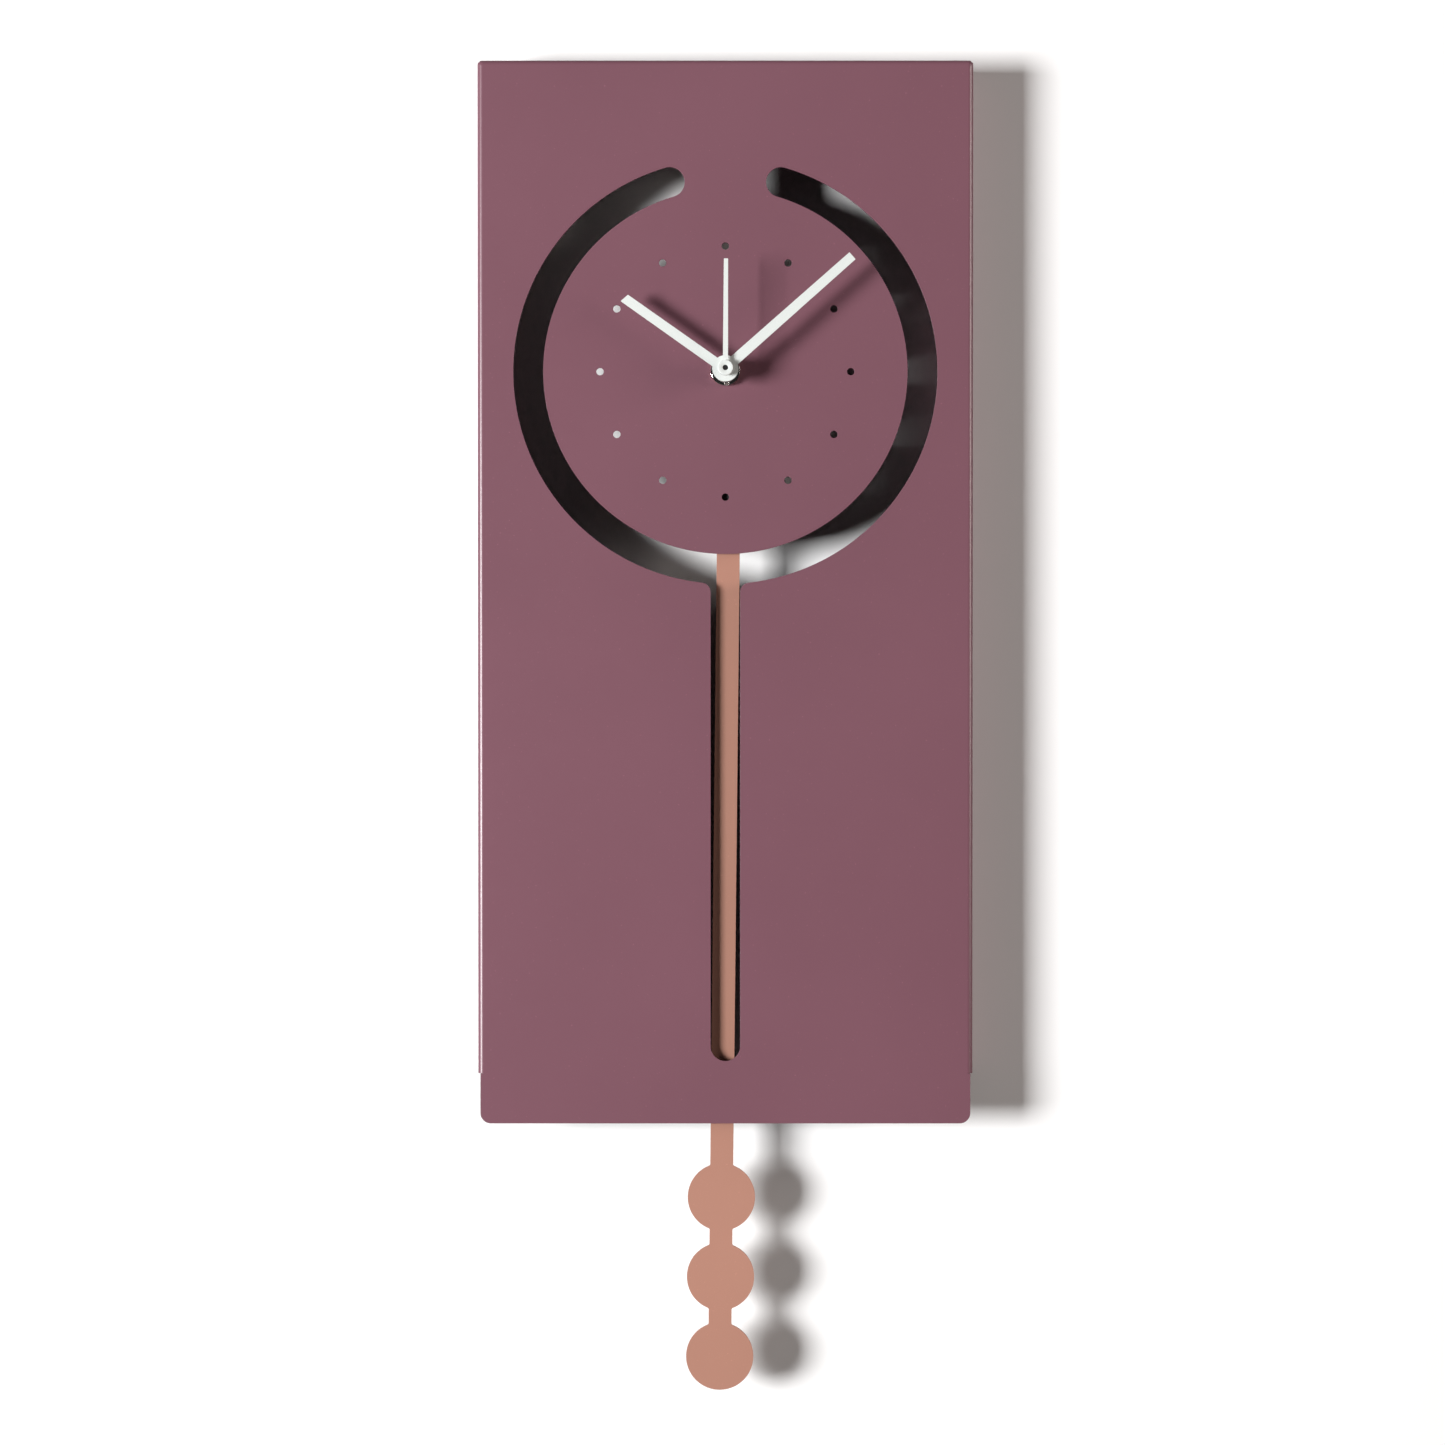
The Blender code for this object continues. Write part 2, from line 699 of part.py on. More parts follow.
def make_third_wheel(axis):
    wheel = toothed("third_wheel", THIRD_TEETH, TRAIN_MODULE, THIRD_WHEEL, WHEEL_THICKNESS, axis)
    pinion = toothed("pinion", PINION_TEETH, centre_module(), THIRD_PINION, PINION_THICKNESS, axis)
    return joined(wheel, pinion, rod("arbor", ARBOR, ARBOR_BACK, THIRD_ARBOR_FRONT, WHEEL, axis, 16))


def make_second_wheel(axis):
    thickness = SECOND_PINION_THICKNESS
    wheel = toothed("second_wheel", SECOND_TEETH, TRAIN_MODULE, SECOND_WHEEL, WHEEL_THICKNESS, axis)
    pinion = toothed("pinion", PINION_TEETH, TRAIN_MODULE, SECOND_PINION, thickness, axis)
    arbor = rod("arbor", SECOND_ARBOR, ARBOR_BACK, SECOND_ARBOR_FRONT, WHEEL, axis, 16)
    return joined(wheel, pinion, arbor)


def make_intermediate_wheel(axis):
    back = INTERMEDIATE_WHEEL
    front = INTERMEDIATE_ARBOR_FRONT
    wheel = toothed("intermediate_wheel", INTERMEDIATE_TEETH, FAST_MODULE, back, WHEEL_THICKNESS, axis)
    pinion = toothed("pinion", PINION_TEETH, TRAIN_MODULE, INTERMEDIATE_PINION, PINION_THICKNESS, axis)
    return joined(wheel, pinion, rod("arbor", ARBOR, ARBOR_BACK, front, WHEEL, axis, 16))


def make_rotor(axis):
    magnet = rod("rotor", ROTOR_RADIUS, ROTOR_BACK, ROTOR_FRONT, MAGNET, axis, steps=24)
    pinion = toothed("pinion", PINION_TEETH, FAST_MODULE, ROTOR_PINION, PINION_THICKNESS, axis)
    return joined(magnet, pinion, rod("arbor", ARBOR, ARBOR_BACK, ROTOR_ARBOR_FRONT, WHEEL, axis, 16))


def make_set_knob(axis):
    """A knurled knob on the works wheel's stem, outside the rear cover."""
    loop = []
    for knurl in range(KNOB_KNURLS):
        angle = 360 * knurl / KNOB_KNURLS
        loop.append(polar(KNOB_RADIUS - KNURL_DEPTH, angle))
        loop.append(polar(KNOB_RADIUS, angle + 180 / KNOB_KNURLS))
    knob = plate("set_knob", [loop], KNOB_BACK, KNOB_FRONT, BLACK_PLASTIC, axis)
    bore = rod("bore", STEM + PIPE_PLAY, STEM_BACK - GAP, KNOB_FRONT + MM, BLACK_PLASTIC, axis, 20)
    return cut(knob, bore)


def hour_module():
    """The module that gives the hour pair the same centre distance as the works pair."""
    return MOTION_MODULE * (CANNON_TEETH + WORKS_TEETH) / (WORKS_PINION_TEETH + HOUR_TEETH)


def centre_module():
    """The module that brings the centre wheel onto the second wheel's axis."""
    return TRAIN_MODULE * (PINION_TEETH + THIRD_TEETH) / (PINION_TEETH + CENTRE_TEETH)


def polar(distance, degrees, start=(0, 0)):
    angle = math.radians(degrees)
    return (start[0] + distance * math.cos(angle), start[1] + distance * math.sin(angle))


def wheel_places():
    """Where each arbor stands off the dial axis, from the teeth in mesh."""
    works = polar((CANNON_TEETH + WORKS_TEETH) * MOTION_MODULE / 2, 210)
    third = polar((PINION_TEETH + THIRD_TEETH) * TRAIN_MODULE / 2, -30)
    intermediate = polar((PINION_TEETH + SECOND_TEETH) * TRAIN_MODULE / 2, 150)
    rotor = polar((PINION_TEETH + INTERMEDIATE_TEETH) * FAST_MODULE / 2, 190, intermediate)
    return {"works": works, "third": third, "intermediate": intermediate, "rotor": rotor}


# ---- The movement's fixed pieces ----
def housing(inset):
    wide = HOUSING_HALF_WIDTH - inset
    narrow = FOOT_HALF_WIDTH - inset
    radius = HOUSING_CORNER - inset
    neck = SHOULDER - SHOULDER_SLOPE + inset
    return rounded(
        [
            (-wide, HOUSING_TOP - inset, radius),
            (-wide, SHOULDER + inset, radius),
            (-narrow, neck, 0),
            (-narrow, HOUSING_BOTTOM + inset, radius),
            (narrow, HOUSING_BOTTOM + inset, radius),
            (narrow, neck, 0),
            (wide, SHOULDER + inset, radius),
            (wide, HOUSING_TOP - inset, radius),
        ]
    )


def make_front_shell(frame):
    shell = plate("movement_front_shell", [housing(0)], SHELL_SPLIT, SHELL_FRONT, GREY_PLASTIC, frame)
    back = SHELL_SPLIT - MM
    hollow = plate("hollow", [housing(SHELL)], back, SHELL_FRONT - SHELL, GREY_PLASTIC, frame)
    hole = rod("hole", SHAFT_HOLE, back, SHELL_FRONT + MM, GREY_PLASTIC, frame, steps=24)
    half = 9 * MM
    low = (-half, HOUSING_BOTTOM - MM, back)
    high = (half, HOUSING_BOTTOM + 3 * MM, ARM_FRONT + 1.5 * MM)
    mouth = box("arm_mouth", low, high, GREY_PLASTIC, frame)
    return cut(shell, hollow, hole, mouth)


def make_rear_cover(frame, places):
    """The tray that closes the movement, open over the battery and bored for the knob's stem."""
    front = SHELL_SPLIT - GAP
    inner = COVER_BACK + SHELL
    cover = plate("movement_rear_cover", [housing(0)], COVER_BACK, front, GREY_PLASTIC, frame)
    hollow = plate("hollow", [housing(SHELL)], inner, front + MM, GREY_PLASTIC, frame)
    cut(cover, hollow)
    half = HOUSING_HALF_WIDTH - SHELL / 2
    top = BAY_BOTTOM - GAP
    low = (-half, top - 0.8 * MM, COVER_BACK + SHELL / 2)
    joined(cover, box("wall", low, (half, top, front), GREY_PLASTIC, frame))
    back = COVER_BACK - MM
    low = (-BAY_HALF_WIDTH, BAY_BOTTOM, back)
    bay = box("bay", low, (BAY_HALF_WIDTH, BAY_TOP, inner + MM), GREY_PLASTIC, frame)
    stem = rod("stem", STEM + 0.4 * MM, back, inner + MM, GREY_PLASTIC, frame, steps=20)
    stem.location.xy = places["works"]
    return cut(cover, bay, stem)


def make_bearing_plate(frame, places):
    """A plate with a hole for the rear end of each arbor."""
    play = 0.25 * MM
    loops = [rectangle(24 * MM, -15 * MM, 9.8 * MM, 2 * MM), circle((0, 0), SECOND_ARBOR + play, 16)]
    for name in ("third", "intermediate", "rotor"):
        loops.append(circle(places[name], ARBOR + play, 16))
    loops.append(circle(places["works"], STEM + GAP, 16))
    return plate("bearing_plate", loops, PLATE_BACK, PLATE_FRONT, WHEEL, frame)


def make_stator(frame, places):
    x, y = places["rotor"]
    outline = rounded(
        [
            (x - 6 * MM, y + 6 * MM, MM),
            (x - 6 * MM, -24 * MM, MM),
            (x - 1 * MM, -24 * MM, MM),
            (x - 1 * MM, y - 6 * MM, MM),
            (x + 6 * MM, y - 6 * MM, MM),
            (x + 6 * MM, y + 6 * MM, MM),
        ],
        steps=3,
    )
    loops = [outline, circle((x, y), ROTOR_RADIUS + 0.5 * MM, 24)]
    return plate("stator", loops, 14.1 * MM, 14.8 * MM, STEEL, frame)


def make_motor_coil(frame):
    """A wound spool that lies along X, with its core strip through it."""
    half = COIL_HALF_LENGTH
    flange = half - 1.2 * MM
    profile = [
        (SPOOL_BORE, half),
        (COIL_FLANGE_RADIUS, half),
        (COIL_FLANGE_RADIUS, flange),
        (COIL_RADIUS, flange),
        (COIL_RADIUS, -flange),
        (COIL_FLANGE_RADIUS, -flange),
        (COIL_FLANGE_RADIUS, -half),
        (SPOOL_BORE, -half),
    ]
    coil = turned("motor_coil", profile, COPPER, frame, closed=True, steps=24)
    coil.location = COIL_PLACE
    coil.rotation_euler.y = math.pi / 2
    box("coil_core", CORE_LOW, CORE_HIGH, STEEL, frame)


def make_circuit_board(frame):
    loop = rectangle(24 * MM, -26 * MM, -15 * MM, MM)
    plate("circuit_board", [loop], 21.5 * MM, 22.3 * MM, BOARD, frame)
    dome = [(0, -1.6 * MM), (1.5 * MM, -1.4 * MM), (2.6 * MM, -0.9 * MM), (3 * MM, 0), (0, 0)]
    chip = turned("clock_chip", dome[::-1], BLACK_PLASTIC, frame, steps=20)
    chip.location = CHIP_PLACE
    crystal = rod("quartz_crystal", MM, -3 * MM, 3 * MM, CHROME, frame, steps=16)
    crystal.location = CRYSTAL_PLACE
    crystal.rotation_euler.y = math.pi / 2


def make_battery(frame):
    """A round cell lying along X, with its raised end to the right."""
    bevel = 0.5 * MM
    profile = [
        (0, CELL_NUB),
        (NUB_RADIUS, CELL_NUB),
        (NUB_RADIUS, CELL_END),
        (CELL_RADIUS - bevel, CELL_END),
        (CELL_RADIUS, CELL_END - bevel),
        (CELL_RADIUS, bevel - CELL_END),
        (CELL_RADIUS - bevel, -CELL_END),
        (0, -CELL_END),
    ]
    battery = turned("battery", profile, BATTERY, frame, steps=36)
    battery.location = (0, CELL_Y, CELL_Z)
    battery.rotation_euler.y = math.pi / 2


def make_contacts(frame):
    for name, side in (("contact_plus", 1), ("contact_minus", -1)):
        inner, outer = sorted((side * 25.8 * MM, side * 26.2 * MM))
        contact = box(name, (inner, 14 * MM, 13 * MM), (outer, 24 * MM, 24 * MM), CHROME, frame)
        if side < 0:
            cone = [(0, 1.1 * MM), (0.9 * MM, 1.1 * MM), (2.6 * MM, -0.2 * MM), (0, -0.2 * MM)]
            bump = turned("bump", cone, CHROME, frame, steps=20)
            bump.location = (outer, CELL_Y, CELL_Z)
            bump.rotation_euler.y = math.pi / 2
            joined(contact, bump)


def make_pendulum_drive(frame):
    loop = rectangle(15 * MM, -70 * MM, -47 * MM, MM)
    plate("pendulum_board", [loop], 12.6 * MM, 13.4 * MM, BOARD, frame)
    coil = ring("pendulum_coil", 3 * MM, 8 * MM, 13.7 * MM, 17.9 * MM, COPPER, frame)
    coil.location.y = -DRIVE_COIL_DROP
    pin = rod("pivot_pin", PIN_RADIUS, PIN_BACK, PIN_FRONT, CHROME, frame, steps=20)
    pin.location.y = -PIVOT_DROP


# ---- The pendulum, drawn about its pivot ----
def make_hanger_arm(pivot):
    """A stamped arm from the pivot down to the hook peg."""
    lean = math.atan2(HOOK[0], -HOOK[1])
    length = math.hypot(*HOOK)
    arm = plate(
        "hanger_arm",
        [
            rectangle(ARM_HALF_WIDTH, -length - 3.5 * MM, 0, ARM_HALF_WIDTH / 2),
            circle((0, -length), PEG_NECK + GAP, 20),
        ],
        ARM_BACK,
        ARM_FRONT,
        STEEL,
        pivot,
    )
    arm.rotation_euler.z = lean
    hub = rod("hub", 4 * MM, ARM_BACK, ARM_FRONT, STEEL, pivot, steps=24)
    bore = rod("bore", PIN_RADIUS + PIPE_PLAY, ARM_BACK - MM, ARM_FRONT + MM, STEEL, pivot, steps=20)
    joined(arm, hub)
    return cut(arm, bore)


def make_hook_peg(pivot):
    """A shouldered rivet in the arm's end: the bar hangs on its neck."""
    head = 2.6 * MM
    tail = 2.4 * MM
    shoulder = ARM_BACK - GAP
    end = shoulder - 0.6 * MM
    profile = [
        (0, PEG_FRONT),
        (head, PEG_FRONT),
        (head, BAR_FRONT + GAP),
        (PEG_NECK, BAR_FRONT + GAP),
        (PEG_NECK, shoulder),
        (tail, shoulder),
        (tail, end),
        (0, end),
    ]
    peg = turned("hook_peg", profile, CHROME, pivot, steps=24)
    peg.location.xy = HOOK
    return peg


def make_magnet(pivot):
    front = ARM_BACK - GAP
    magnet = rod("pendulum_magnet", MAGNET_RADIUS, MAGNET_BACK, front, MAGNET, pivot, steps=24)
    magnet.location.xy = (MAGNET_OFFSET, PIVOT_DROP - DRIVE_COIL_DROP)
    return magnet


def bar_outline():
    """The bar and its three discs, from the hook's hole down."""
    side = BAR_HALF_WIDTH
    reach = side + DISC_FILLET
    rise = math.sqrt((DISC_RADIUS + DISC_FILLET) ** 2 - reach**2)
    meet = math.atan2(rise, reach)
    right = arc((side - 3 * MM, 3 * MM), 3 * MM, math.pi / 2, 0, 4)
    for index, drop in enumerate(DISC_DROPS):
        centre = (0, -drop)
        last = index == len(DISC_DROPS) - 1
        right += arc((reach, -drop + rise), DISC_FILLET, math.pi, math.pi + meet, 3)
        if last:
            right += arc(centre, DISC_RADIUS, meet, -math.pi / 2, 18)[1:]
        else:
            right += arc(centre, DISC_RADIUS, meet, -meet, 14)[1:]
            right += arc((reach, -drop - rise), DISC_FILLET, math.pi - meet, math.pi, 3)[1:]
    return right + mirrored(right)[1:]


def make_pendulum_bar(pivot):
    hole = circle((0, 0), PEG_NECK + 0.5 * MM, 20)
    bar = plate("pendulum_bar", [bar_outline(), hole], BAR_FRONT - BAR_SHEET, BAR_FRONT, TERRACOTTA, pivot)
    bar.location.xy = HOOK
    bar.rotation_euler.z = BAR_TILT
    return bar


# ---- The whole clock ----
def make_hands_and_wheels(frame, places):
    hour = new_axis("hour_axis", frame, rotation=(0, 0, -HOUR_ANGLE))
    minute = new_axis("minute_axis", frame, rotation=(0, 0, -MINUTE_ANGLE))
    second = new_axis("second_axis", frame, rotation=(0, 0, -SECOND_ANGLE))
    make_hour_hand(hour)
    make_hour_wheel(hour)
    make_minute_hand(minute)
    make_minute_pipe(minute)
    make_centre_wheel(minute)
    make_second_hand(second)
    make_second_wheel(second)
    axes = {name: new_axis(f"{name}_axis", frame, (*place, 0)) for name, place in places.items()}
    make_works_wheel(axes["works"])
    make_set_knob(axes["works"])
    make_third_wheel(axes["third"])
    make_intermediate_wheel(axes["intermediate"])
    make_rotor(axes["rotor"])


def make_movement(frame, places):
    make_front_shell(frame)
    make_rear_cover(frame, places)
    make_bearing_plate(frame, places)
    make_stator(frame, places)
    make_motor_coil(frame)
    make_circuit_board(frame)
    make_battery(frame)
    make_contacts(frame)
    make_pendulum_drive(frame)


def make_pendulum(frame):
    pivot = new_axis("pendulum_pivot", frame, (0, -PIVOT_DROP, 0))
    make_hanger_arm(pivot)
    make_hook_peg(pivot)
    make_magnet(pivot)
    make_pendulum_bar(pivot)


def make_clock():
    frame = new_axis("dial_axis", None, (0, 0, -HANG_ABOVE_DIAL), (math.pi / 2, 0, 0))
    places = wheel_places()
    make_case_sheet(frame)
    make_hanger_bar(frame)
    make_bushing(frame)
    make_gasket(frame)
    make_washer(frame)
    make_nut(frame)
    make_movement(frame, places)
    make_hands_and_wheels(frame, places)
    make_pendulum(frame)


clear_scene()
PARTS = new_collection("pendulum_wall_clock")
PLUM = new_material("plum_powder_coat", (0.25, 0.11, 0.135), 0.5)
TERRACOTTA = new_material("terracotta_paint", (0.53, 0.27, 0.2), 0.5)
WHITE = new_material("white_paint", (0.85, 0.87, 0.86), 0.45)
CHROME = new_material("chrome", (0.75, 0.75, 0.74), 0.12, 1.0)
STEEL = new_material("zinc_plated_steel", (0.6, 0.61, 0.62), 0.35, 1.0)
BRASS = new_material("brass", (0.78, 0.6, 0.28), 0.25, 1.0)
RUBBER = new_material("black_rubber", (0.02, 0.02, 0.02), 0.8)
GREY_PLASTIC = new_material("black_moulding", (0.025, 0.025, 0.027), 0.45)
BLACK_PLASTIC = new_material("black_plastic", (0.015, 0.015, 0.015), 0.4)
WHEEL = new_material("natural_acetal", (0.8, 0.79, 0.74), 0.4)
MAGNET = new_material("dark_magnet", (0.12, 0.12, 0.12), 0.35, 1.0)
COPPER = new_material("enamelled_copper", (0.62, 0.25, 0.1), 0.3, 1.0)
BOARD = new_material("green_board", (0.03, 0.2, 0.08), 0.45)
BATTERY = new_material("battery_sleeve", (0.1, 0.2, 0.3), 0.35)
make_clock()
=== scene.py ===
import json
import math

import bmesh
import bpy
from mathutils import Matrix, Vector


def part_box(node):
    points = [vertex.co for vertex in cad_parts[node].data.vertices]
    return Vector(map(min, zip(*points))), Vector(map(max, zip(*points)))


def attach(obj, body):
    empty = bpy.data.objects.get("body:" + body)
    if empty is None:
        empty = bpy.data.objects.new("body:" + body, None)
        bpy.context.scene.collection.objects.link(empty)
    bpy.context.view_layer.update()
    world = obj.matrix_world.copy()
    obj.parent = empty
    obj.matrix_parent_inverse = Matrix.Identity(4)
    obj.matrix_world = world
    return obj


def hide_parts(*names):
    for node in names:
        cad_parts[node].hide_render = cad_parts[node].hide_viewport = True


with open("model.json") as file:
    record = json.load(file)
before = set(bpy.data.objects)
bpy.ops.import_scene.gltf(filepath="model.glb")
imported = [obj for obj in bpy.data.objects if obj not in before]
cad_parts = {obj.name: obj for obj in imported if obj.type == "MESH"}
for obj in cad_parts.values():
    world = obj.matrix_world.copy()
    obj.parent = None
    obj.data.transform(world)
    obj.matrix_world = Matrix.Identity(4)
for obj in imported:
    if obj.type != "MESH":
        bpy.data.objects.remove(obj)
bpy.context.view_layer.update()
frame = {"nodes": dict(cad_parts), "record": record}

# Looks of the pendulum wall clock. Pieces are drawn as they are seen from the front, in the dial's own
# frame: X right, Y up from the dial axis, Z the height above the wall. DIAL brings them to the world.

# ---- Dimensions, in metres ----
MM = 0.001
HANG_ABOVE_DIAL = 150 * MM
DIAL = Matrix.Translation((0, 0, -HANG_ABOVE_DIAL)) @ Matrix.Rotation(math.pi / 2, 4, "X")


def node_box(name):
    """A CAD node's box in the dial's frame: lowest corner and highest corner."""
    low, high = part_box(name)
    return (
        Vector((low.x, low.z + HANG_ABOVE_DIAL, -high.y)),
        Vector((high.x, high.z + HANG_ABOVE_DIAL, -low.y)),
    )


# The folded case
CASE_LOW, CASE_HIGH = node_box("case_sheet")
SHEET = 1.2 * MM
BEND = 3 * MM
BEND_STEPS = 12
FLANGE_BOTTOM = -368.3 * MM
STRIP_HALF_WIDTH = 128.7 * MM
STRIP_CORNER = 5.5 * MM
FLANGE_SLIT = 0.1 * MM
EDGE_ROUND = 0.3 * MM
RING_OUTER = 111.2 * MM
RING_INNER = 95.5 * MM
RING_END = math.radians(16.4)
SLOT_HALF_WIDTH = 7.75 * MM
SLOT_BOTTOM = -361.8 * MM
SLOT_FILLET = 5 * MM
HOUR_CIRCLE = 65.7 * MM
HOUR_HOLE = 1.95 * MM
SHAFT_HOLE = 4.3 * MM

# The hands: length, width at the tip, width at the hub, hub radius, slant of the tip
HOUR_HAND = (65 * MM, 4.9 * MM, 5.1 * MM, 6 * MM, 1.2 * MM)
MINUTE_HAND = (88 * MM, 4.8 * MM, 5.4 * MM, 6.8 * MM, 0)
SECOND_HAND = (56.5 * MM, 2.2 * MM, 2.7 * MM, 2 * MM, 0)
HAND_SHEET = 0.5 * MM
HOUR_ANGLE = math.radians(-54.8)
MINUTE_ANGLE = math.radians(48.5)
SECOND_ANGLE = math.radians(0.3)
TIP_CORNER = 0.25 * MM

# The middle height of each blade, and each collet: radius, back and front
HOUR_HEIGHT = 40.4 * MM
MINUTE_HEIGHT = 45.2 * MM
SECOND_HEIGHT = 48 * MM
HOUR_COLLET = (3.5 * MM, 37.6 * MM, HOUR_HEIGHT + 0.6 * MM)
MINUTE_COLLET = (2.7 * MM, 42.2 * MM, MINUTE_HEIGHT + 0.5 * MM)
SECOND_COLLET = (1.1 * MM, 46.3 * MM, SECOND_HEIGHT)
SECOND_BORE_FRONT = 48.1 * MM

# The second hand's cap, with a black disc sunk in its eye as painted shade of the hole
CAP_RADIUS = 4 * MM
CAP_EDGE = 0.3 * MM
CAP_SIDE = 0.4 * MM
EYE_RADIUS = 1.45 * MM
EYE_BACK = 48.3 * MM
# A black disc in the eye paints the shade deep in the hole: painted shade
EYE_SHADE_RADIUS = 1.4 * MM
EYE_SHADE_BACK = 48.35 * MM
EYE_SHADE_SINK = 0.55 * MM

# The concentric pipes
HOUR_PIPE = 2.5 * MM
MINUTE_PIPE = 1.65 * MM
SECOND_ARBOR = 0.5 * MM
PIPE_PLAY = 0.15 * MM

# The keyhole bar
HANGER_SHEET = 1.5 * MM
HANGER_BEND = 3 * MM
KEYHOLE_NECK = 2.2 * MM
KEYHOLE_HEAD = 4.5 * MM
KEYHOLE_DROP = 10 * MM
DIMPLE_RADIUS = 1.6 * MM
DIMPLE_DEPTH = 0.3 * MM
DIMPLE_PLACES = [x * MM for x in (-96, -60, 60, 96)]

# The clamp through the dial
NUT_CHAMFER = 0.35 * MM
NUT_BREAK = 0.2 * MM
NOTCH_START = 5.9 * MM
NOTCH_END = 9 * MM
NOTCH_HALF_WIDTH = 1.1 * MM
NOTCH_COUNT = 4
NOTCH_TURN = -84
GASKET_CORNER = 4 * MM
GASKET_HOLE = 6.2 * MM
THREAD_RADIUS = 4 * MM
THREAD_PITCH = 0.5 * MM
THREAD_DEPTH = 0.28 * MM
THREAD_LEAD = 0.3 * MM
BUSHING_PLAY = 0.2 * MM
COLLAR_BACK = 27.7 * MM
COLLAR_FRONT = 28.5 * MM

# The movement's housing
SHELL = 1.2 * MM
HOUSING_LOW, HOUSING_HIGH = node_box("movement_front_shell")
COVER_LOW, COVER_HIGH = node_box("movement_rear_cover")
SHOULDER = -28 * MM
SHOULDER_SLOPE = 2 * MM
FOOT_HALF_WIDTH = 19 * MM
HOUSING_CORNER = 3 * MM
HOUSING_EDGE = 0.8 * MM
MOUTH_HALF_WIDTH = 9 * MM
MOUTH_RISE = 3 * MM
MOUTH_BACK = 19 * MM
MOUTH_FRONT = 24.6 * MM
BAY_WALL_LOW = 10.6 * MM
BAY_WALL_HIGH = 11.4 * MM
BAY_LOW = (-25.3 * MM, 11.7 * MM)
BAY_HIGH = (25.3 * MM, 26.6 * MM)
CUT_REACH = 12 * MM  # how far forward the bay and the stem's hole are cut
STEM_HOLE = 1.1 * MM
CELL_Y = 19.1 * MM
CELL_Z = 18.6 * MM

# The mouldings on the cover's back, and the knob in its well
RIB_RISE = 0.6 * MM
RIB_SINK = 0.4 * MM
RIB_HALF_LENGTH = 13 * MM
RIB_HALF_WIDTH = 0.6 * MM
RIB_CORNER = 0.55 * MM
RIB_PLACES = [y * MM for y in (-36, -44, -52, -60)]
RIM_LOW = Vector((-26.6, 10.4)) * MM
RIM_HIGH = Vector((26.6, 27.1)) * MM
RIM_WIDTH = MM
WELL_INNER = 6.1 * MM
WELL_OUTER = 7.1 * MM
KNOB_LOW, KNOB_HIGH = node_box("set_knob")
KNOB = ((KNOB_LOW.x + KNOB_HIGH.x) / 2, (KNOB_LOW.y + KNOB_HIGH.y) / 2)
KNOB_TEETH = 48
KNOB_TOOTH = 0.25 * MM
KNOB_DISH = 3.4 * MM
KNOB_DISH_DEPTH = 0.6 * MM
KNOB_BORE = 0.7 * MM
KNOB_BORE_BACK = 7.2 * MM
KNOB_BORE_FRONT = 10 * MM
GRIP_HALF_LENGTH = 2.9 * MM
GRIP_HALF_WIDTH = 0.5 * MM
GRIP_CORNER = 0.4 * MM
GRIP_BACK = 0.1 * MM
GRIP_FRONT = 1.2 * MM

# The pendulum
PIVOT_DROP = 36 * MM
HOOK = (1.7 * MM, -44 * MM)
BAR_TILT = math.radians(-0.613)
BAR_HALF_WIDTH = 6.05 * MM
DISC_RADIUS = 17.75 * MM
DISC_DROPS = [drop * MM for drop in (354.3, 396.35, 438.4)]
DISC_FILLET = 0.9 * MM
BAR_CORNER = 3 * MM
BAR_EYE = 1.9 * MM
ARM_HALF_WIDTH = 3 * MM
ARM_TAIL = 3.5 * MM
ARM_CORNER = 2.2 * MM
ARM_HUB = 4 * MM
ARM_EYE = 1.7 * MM
PIVOT_RADIUS = MM

# The studio
VIEW_DISTANCE = 1.5  # from the case's front
VIEW_WIDTH = 0.7582  # what the frame takes in there
VIEW_TILT = math.radians(0.6)
VIEW_CENTRE = (-0.0015, -0.3339)
SENSOR = 36
WALL_GAP = 0.3 * MM
WALL_MIDDLE = 0.9
FLOOR_DROP = 1.9
BOUNCE = 0.2
WORLD_LIGHT = 0.025
WORLD_SEEN = 0.9


